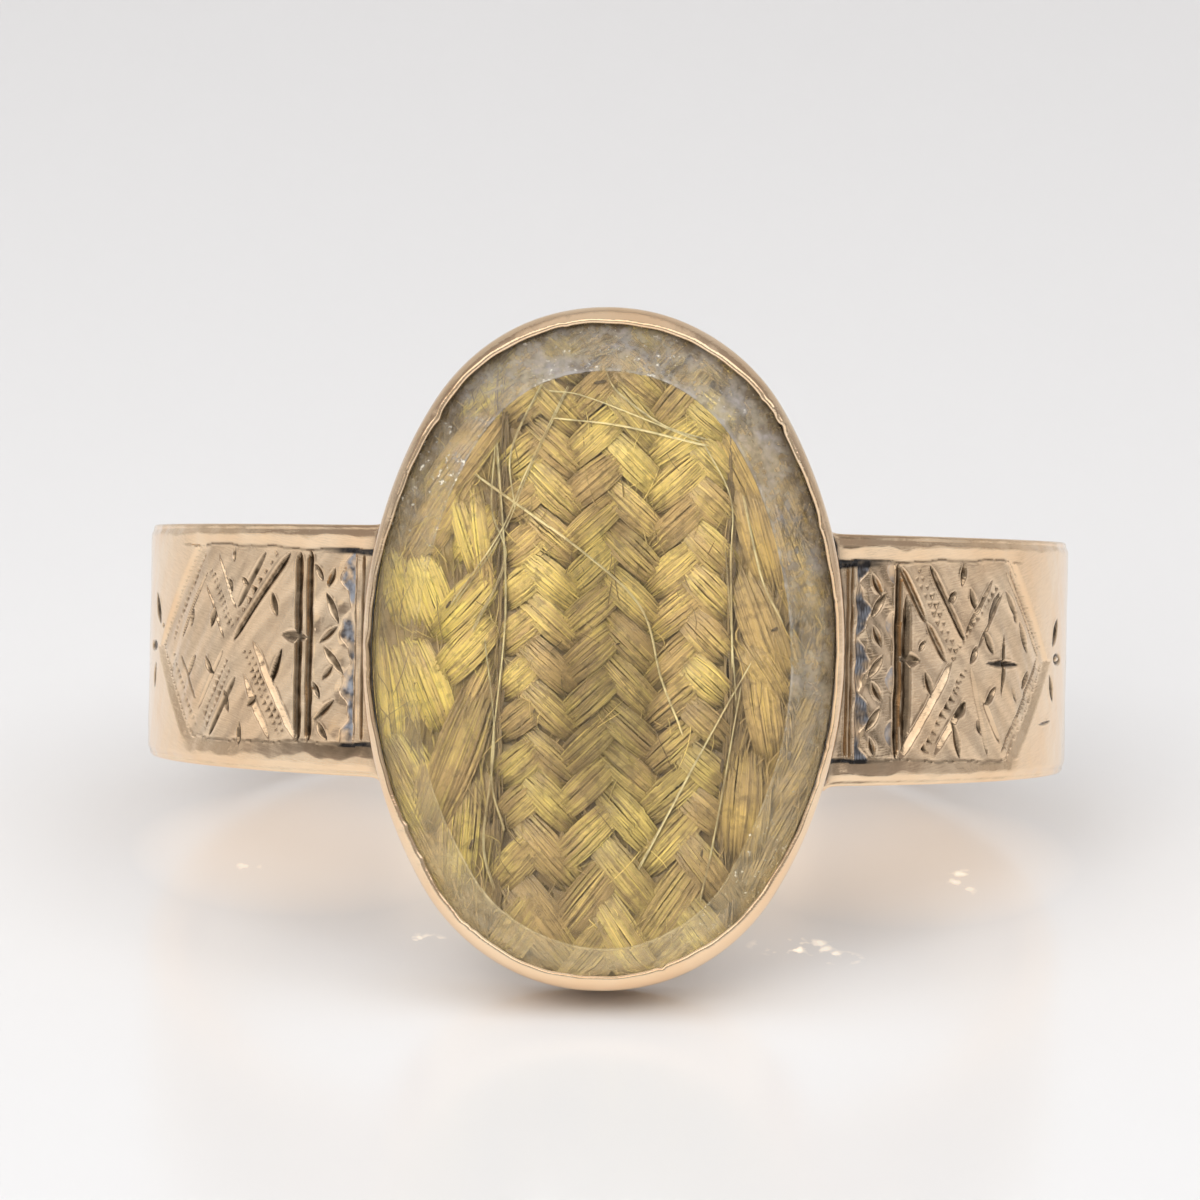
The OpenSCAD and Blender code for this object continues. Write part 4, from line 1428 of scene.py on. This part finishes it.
def gold_finish(looks):
    """Old polished gold: pale where it is worn, dark with tarnish and painted shade in the cuts and
    corners, grey beside the bezel.
    """
    material, n = new_finish("old_gold")
    cut, film, black = (n.point_value(k) for k in ("cut", "film", "black"))
    cloud = n.noise(700.0, 4.0)
    grain = n.noise(9000.0, 3.0)
    tint = n.mix(cloud.within(0.35, 0.65), looks.gold, looks.gold_pale)
    speckle = n.noise(4200.0, 4.0)
    # Darkens towards the tarnish colour: real tarnish, and painted shade on the steps, the lower rail,
    # one wall of the cuts and the bezel's hollows
    stain_and_shade = (cut * (0.62 + 0.95 * speckle)).within()
    tint = n.mix(stain_and_shade, tint, looks.tarnish_and_shade)
    dull = n.mix(speckle.within(0.38, 0.62), looks.soot_and_shade, looks.soot_pale)
    tint = n.mix((film * n.noise(2300.0, 3.0).within(0.4, 0.56)).within(), tint, dull)
    # Near black: painted shade under the rails and in the bezel's hollows, and the film's dark grains
    tint = n.mix((black * (0.6 + 0.8 * speckle)).within(), tint, (0.012, 0.01, 0.01))
    rough = 0.07 + 0.08 * cloud + 0.2 * cut + 0.25 * film
    scratches = n.noise(2600.0, 5.0, (1.0, 1.0, 9.0)) * 0.4 + grain * 0.4 + 3.0 * n.noise(1100.0)
    bump = n.add(
        "ShaderNodeBump", None, {"Height": scratches, "Strength": 0.25, "Distance": 0.00004}
    )
    sockets = {
        "Base Color": tint,
        "Metallic": 1.0 - 0.7 * black.maths("MAXIMUM", black, film * 0.8),
        "Roughness": rough,
        "Normal": bump,
    }
    n.finish(n.surface(sockets))
    return material


def hair_finish(name, light, looks):
    """Smooth old hair: each hair its own tone, with the painted shade and sheen that the tone carries,
    and a soft gloss.
    """
    material, n = new_finish(name)
    tone, warm = n.point_value("tone"), n.point_value("warm")
    streak = n.noise(2500.0, 3.0)
    grain = n.noise(14000.0, 2.0)
    dust = n.noise(5200.0, 5.0).within(0.36, 0.5)
    amount = (tone * (0.72 + 0.5 * streak) * (0.6 + 0.4 * dust) + 0.14 * grain).within(0.05, 0.95)
    browned = (warm + n.noise(800.0, 2.0).within(0.42, 0.62) * 0.6).within()
    lit = n.mix(browned, light, looks.hair_brown)
    sockets = {
        "Base Color": n.mix(amount, looks.hair_dark, lit),
        "Roughness": 0.42 - 0.1 * tone,
        "Specular IOR Level": 0.4,
    }
    n.finish(n.surface(sockets))
    return material


def glass_finish(looks):
    """Old glass that lets the lamps through, with a milky film and painted glints on the bevel."""
    material, n = new_finish("old_glass")
    film, painted_glint, rim_shadow_and_grime = (n.point_value(k) for k in ("film", "painted_glint", "rim_shadow_and_grime"))
    cloud = n.noise(900.0, 5.0).within(0.34, 0.66)
    fine = n.noise(6500.0, 4.0).within(0.3, 0.7)
    # Painted glints: bright cream specks in the film
    painted_specks = (n.noise(9000.0, 2.0) + 0.1 * painted_glint).within(0.7, 0.9) * painted_glint.within(0.0, 0.5)
    patchy = 0.2 + 0.9 * cloud + 0.9 * fine
    cover = (film * patchy + 0.6 * rim_shadow_and_grime * (0.3 + fine)).within(0.0, 1.05)
    clear = {
        "Base Color": (0.96, 0.97, 0.95, 1.0),
        "Roughness": 0.015,
        "IOR": 1.43,
        "Transmission Weight": 1.0,
    }
    tint = n.mix(n.noise(1800.0).within(0.35, 0.65), looks.haze, looks.haze_lilac)
    # Brown patches of dirt, and the rim's painted shadow along the bevel's outer edge
    browned = (n.noise(2900.0, 4.0).within(0.48, 0.62) * 0.6 + rim_shadow_and_grime).within()
    tint = n.mix(browned, tint, looks.haze_brown)
    x, z = n.place("X"), n.place("Z")
    tint = n.mix((0.0104 - z - 0.5 * x).within(0.0, 0.005), tint, looks.haze_gold)
    # Where the painted glints are, the film turns bright cream
    milky = {"Base Color": n.mix(painted_specks.within(), tint, (1.0, 0.96, 0.84)), "Roughness": 0.45}
    shown = (cover + painted_specks).within()
    layers = {0: shown, 1: n.surface(clear), 2: n.surface(milky)}
    body = n.add("ShaderNodeMixShader", None, layers)
    lamp = n.add("ShaderNodeLightPath", out="Is Shadow Ray")
    through = n.add("ShaderNodeBsdfTransparent")
    n.finish(n.add("ShaderNodeMixShader", None, {0: lamp, 1: body, 2: through}))
    return material


def floor_finish(looks):
    """A smooth pale floor with a soft gloss, painted greyer behind the ring as shade, with a painted
    glow and glints.
    """
    material, n = new_finish("pale_floor")
    # The faint glow and glints needn't be aimed at as lamps are, which would slow every bounce
    material.cycles.emission_sampling = "NONE"
    x, y = n.place("X"), n.place("Y")
    across = (x.maths("ABSOLUTE", x) - 0.0068) / 0.004
    away = (y - 0.001) / 0.0055
    glow = (1.0 - (across * across + away * away)).within()
    spots = []
    for u, v, reach, depth in GLINTS:
        a, b = (x - u / MM_IN_M) / (reach / MM_IN_M), (y - v / MM_IN_M) / (depth / MM_IN_M)
        spots.append((1.0 - (a * a + b * b)).within())
    sparks = sum(spots[1:], spots[0]) * n.noise(3300.0, 2.0, (0.7, 0.4, 1.0)).within(0.54, 0.72)
    light = n.mix(glow, (0.0, 0.0, 0.0), looks.glow)
    sockets = {
        # Painted shade: the floor greys towards the backdrop
        "Base Color": n.mix(y.within(-0.01, 0.12), looks.floor, looks.floor_far),
        "Emission Color": n.mix(sparks, light, (0.75, 0.6, 0.4)),
        "Emission Strength": 1.0,
        "Roughness": 0.2,
        "Specular IOR Level": 0.4,
    }
    n.finish(n.surface(sockets))
    return material


# Operators


class RING_OT_band(bpy.types.Operator):
    """Makes the two halves of the engraved band"""

    bl_idname = "ring.band"
    bl_label = "Band"

    def execute(self, context):
        s = ring_sizes()
        gold = gold_finish(context.scene.ring_colours)
        for side in ("left", "right"):
            name = f"band_{side}"
            put_piece(name, band_half(side, s), gold, ["band_with_bezel"], 60)
        return {"FINISHED"}


class RING_OT_bezel(bpy.types.Operator):
    """Makes the bezel with its rim and its hollowed back"""

    bl_idname = "ring.bezel"
    bl_label = "Bezel"

    def execute(self, context):
        gold = bpy.data.materials.get("old_gold") or gold_finish(context.scene.ring_colours)
        surface = bezel_surface(ring_sizes())
        put_piece("bezel", surface, gold, ["band_with_bezel"], 55)
        return {"FINISHED"}


class RING_OT_glass(bpy.types.Operator):
    """Makes the bevelled glass"""

    bl_idname = "ring.glass"
    bl_label = "Glass"

    def execute(self, context):
        finish = glass_finish(context.scene.ring_colours)
        surface = glass_surface(ring_sizes())
        put_piece("glass", surface, finish, ["crystal"], 12)
        return {"FINISHED"}


class RING_OT_plaits(bpy.types.Operator):
    """Makes the three plaits of hair"""

    bl_idname = "ring.plaits"
    bl_label = "Plaits"

    def execute(self, context):
        s, looks = ring_sizes(), context.scene.ring_colours
        centre = hair_finish("centre_plait", looks.hair_light, looks)
        surface = centre_hair_surface(s)
        put_piece("centre_hair", surface, centre, ["centre_plait"], 70)
        for side, light in (("left", looks.left_light), ("right", looks.right_light)):
            finish = hair_finish(f"{side}_plait", light, looks)
            surface = side_hair_surface(side, s)
            put_piece(f"{side}_hair", surface, finish, [f"{side}_plait"], 70)
        return {"FINISHED"}


class RING_OT_loose_hairs(bpy.types.Operator):
    """Makes the single hairs that lie loose on the plaits"""

    bl_idname = "ring.loose_hairs"
    bl_label = "Loose hairs"

    def execute(self, context):
        looks = context.scene.ring_colours
        finish = hair_finish("loose_hair", looks.loose_light, looks)
        surface = loose_hair_surface(ring_sizes())
        put_piece("loose_hairs", surface, finish, ["left_plait"], 70)
        return {"FINISHED"}


def add_lamp(name, place, target, width, power):
    """A square soft lamp that faces a point and isn't mirrored."""
    data = bpy.data.lights.new(name, "AREA")
    data.shape = "SQUARE"
    data.size = width
    data.energy = power
    # To keep the render short, its light ends after three bounces, and rays only aim at it
    data.cycles.max_bounces = 3
    data.cycles.use_multiple_importance_sampling = False
    lamp = bpy.data.objects.new(name, data)
    lamp.location = place
    lamp.rotation_euler = (Vector(target) - Vector(place)).to_track_quat("-Z", "Y").to_euler()
    lamp.visible_glossy = False
    bpy.context.scene.collection.objects.link(lamp)


def add_sweep(finish):
    """The floor, which curves up into the backdrop: a profile of a line, an arc and a line."""
    front, bend, radius, top, half = -0.9, 0.35, 0.25, 1.2, 1.5
    a = np.radians(np.linspace(0, 90, 17))
    y = np.concatenate([[front], bend + radius * np.sin(a), [bend + radius]])
    z = np.concatenate([[0.0], radius * (1 - np.cos(a)), [top]])
    x = np.linspace(-half, half, 9)
    points = np.stack(np.broadcast_arrays(x[None, :], y[:, None], z[:, None]), -1)
    mesh = bpy.data.meshes.new("floor")
    faces = grid_faces(len(y), len(x))[:, ::-1]
    mesh.from_pydata(points.reshape(-1, 3).tolist(), [], faces.tolist())
    mesh.polygons.foreach_set("use_smooth", np.ones(len(mesh.polygons), bool))
    mesh.materials.append(finish)
    floor = bpy.data.objects.new("floor", mesh)
    bpy.context.scene.collection.objects.link(floor)


def add_surroundings(scene):
    """A pale tent, darker towards the camera and overhead, for the gold to mirror."""
    world = bpy.data.worlds.new("tent")
    scene.world = world
    world.use_nodes = True
    # The tent is so even that rays aimed at it gain nothing and only cost time
    world.cycles.sampling_method = "NONE"
    n = Nodes(world.node_tree)
    where = n.add("ShaderNodeTexCoord", out="Generated")
    x, y, z = (n.place(axis, "Generated") for axis in "XYZ")
    patches = n.add("ShaderNodeTexNoise", None, {"Vector": where, "Scale": 2.2, "Detail": 1.0})
    tint = n.mix(patches.within(0.38, 0.62), (0.54, 0.54, 0.56), (0.84, 0.84, 0.85))
    tint = n.mix((0.4 * x - y - 0.5).within(0.0, 0.3), tint, (0.1, 0.095, 0.095))
    tint = n.mix(z.within(0.06, 0.4), tint, (0.34, 0.32, 0.32))
    tint = n.mix(z.within(0.82, 0.95), tint, (0.72, 0.7, 0.7))
    box = z.within(0.48, 0.56) * (1.0 - z.within(0.8, 0.86)) * (-1.0 * y - 0.22).within(0.0, 0.15)
    tint = n.mix(box, tint, (1.5, 1.47, 1.44))
    ahead = -0.97 * y + 0.24 * z
    tint = n.mix(ahead.within(0.93, 0.98), tint, (0.42, 0.41, 0.4))
    aside = 0.69 * x.maths("ABSOLUTE", x) - 0.7 * y + 0.19 * z
    beside = n.mix(x.within(-0.3, 0.3), (1.0, 0.96, 0.9), (0.5, 0.49, 0.47))
    tint = n.mix(aside.within(0.95, 0.99), tint, beside)
    sky = n.add("ShaderNodeBackground", None, {"Color": tint, "Strength": 1.0})
    n.add("ShaderNodeOutputWorld", None, {"Surface": sky})


def add_camera(scene, s):
    """The camera, in front of the ring and a little above it."""
    view = CAMERA
    aim = Vector(on_head(np.array(view.u), np.array(view.v), np.array(s.rim_h), s))
    e, a = math.radians(view.elevation), math.radians(view.azimuth)
    back = Vector((math.sin(a) * math.cos(e), -math.cos(a) * math.cos(e), math.sin(e)))
    data = bpy.data.cameras.new("camera")
    camera = bpy.data.objects.new("camera", data)
    data.sensor_width = 36.0
    data.lens = data.sensor_width * view.distance / view.field
    data.clip_start, data.clip_end = 0.01, 10.0
    roll = Matrix.Rotation(math.radians(view.roll), 3, "Z")
    turn = (-back).to_track_quat("-Z", "Y").to_matrix() @ roll
    camera.rotation_euler = turn.to_euler()
    camera.location = aim + back * view.distance / MM_IN_M
    scene.collection.objects.link(camera)
    scene.camera = camera


class RING_OT_stage(bpy.types.Operator):
    """Makes the floor, the lights and the camera"""

    bl_idname = "ring.stage"
    bl_label = "Stage"

    def execute(self, context):
        scene = context.scene
        add_sweep(floor_finish(scene.ring_colours))
        add_surroundings(scene)
        for name, row in LAMPS.items():
            add_lamp(name, *row)
        add_camera(scene, ring_sizes())
        scene.view_settings.view_transform = "Standard"
        return {"FINISHED"}


class RING_PT_sidebar(bpy.types.Panel):
    """The ring's pieces, sizes and colours"""

    bl_idname = "RING_PT_sidebar"
    bl_label = "Ring"
    bl_space_type = "VIEW_3D"
    bl_region_type = "UI"
    bl_category = "Ring"

    def draw(self, context):
        for operator in OPERATORS:
            self.layout.operator(operator.bl_idname)
        for attribute, _ in GROUPS:
            group = getattr(context.scene, attribute)
            box = self.layout.box()
            for name in own_names(group):
                box.prop(group, name)


OPERATORS = (
    RING_OT_band,
    RING_OT_bezel,
    RING_OT_glass,
    RING_OT_plaits,
    RING_OT_loose_hairs,
    RING_OT_stage,
)
CLASSES = (*(group for _, group in GROUPS), *OPERATORS, RING_PT_sidebar)


def register():
    """Registers the classes and puts the groups of sizes on the scene."""
    for cls in CLASSES:
        bpy.utils.register_class(cls)
    for attribute, group in GROUPS:
        setattr(bpy.types.Scene, attribute, PointerProperty(type=group))


def unregister():
    """Takes back what register did."""
    for attribute, _ in GROUPS:
        delattr(bpy.types.Scene, attribute)
    for cls in reversed(CLASSES):
        bpy.utils.unregister_class(cls)


def main():
    """Makes every piece in order."""
    register()
    for operator in OPERATORS:
        group, name = operator.bl_idname.split(".")
        getattr(getattr(bpy.ops, group), name)()


if __name__ == "__main__":
    main()
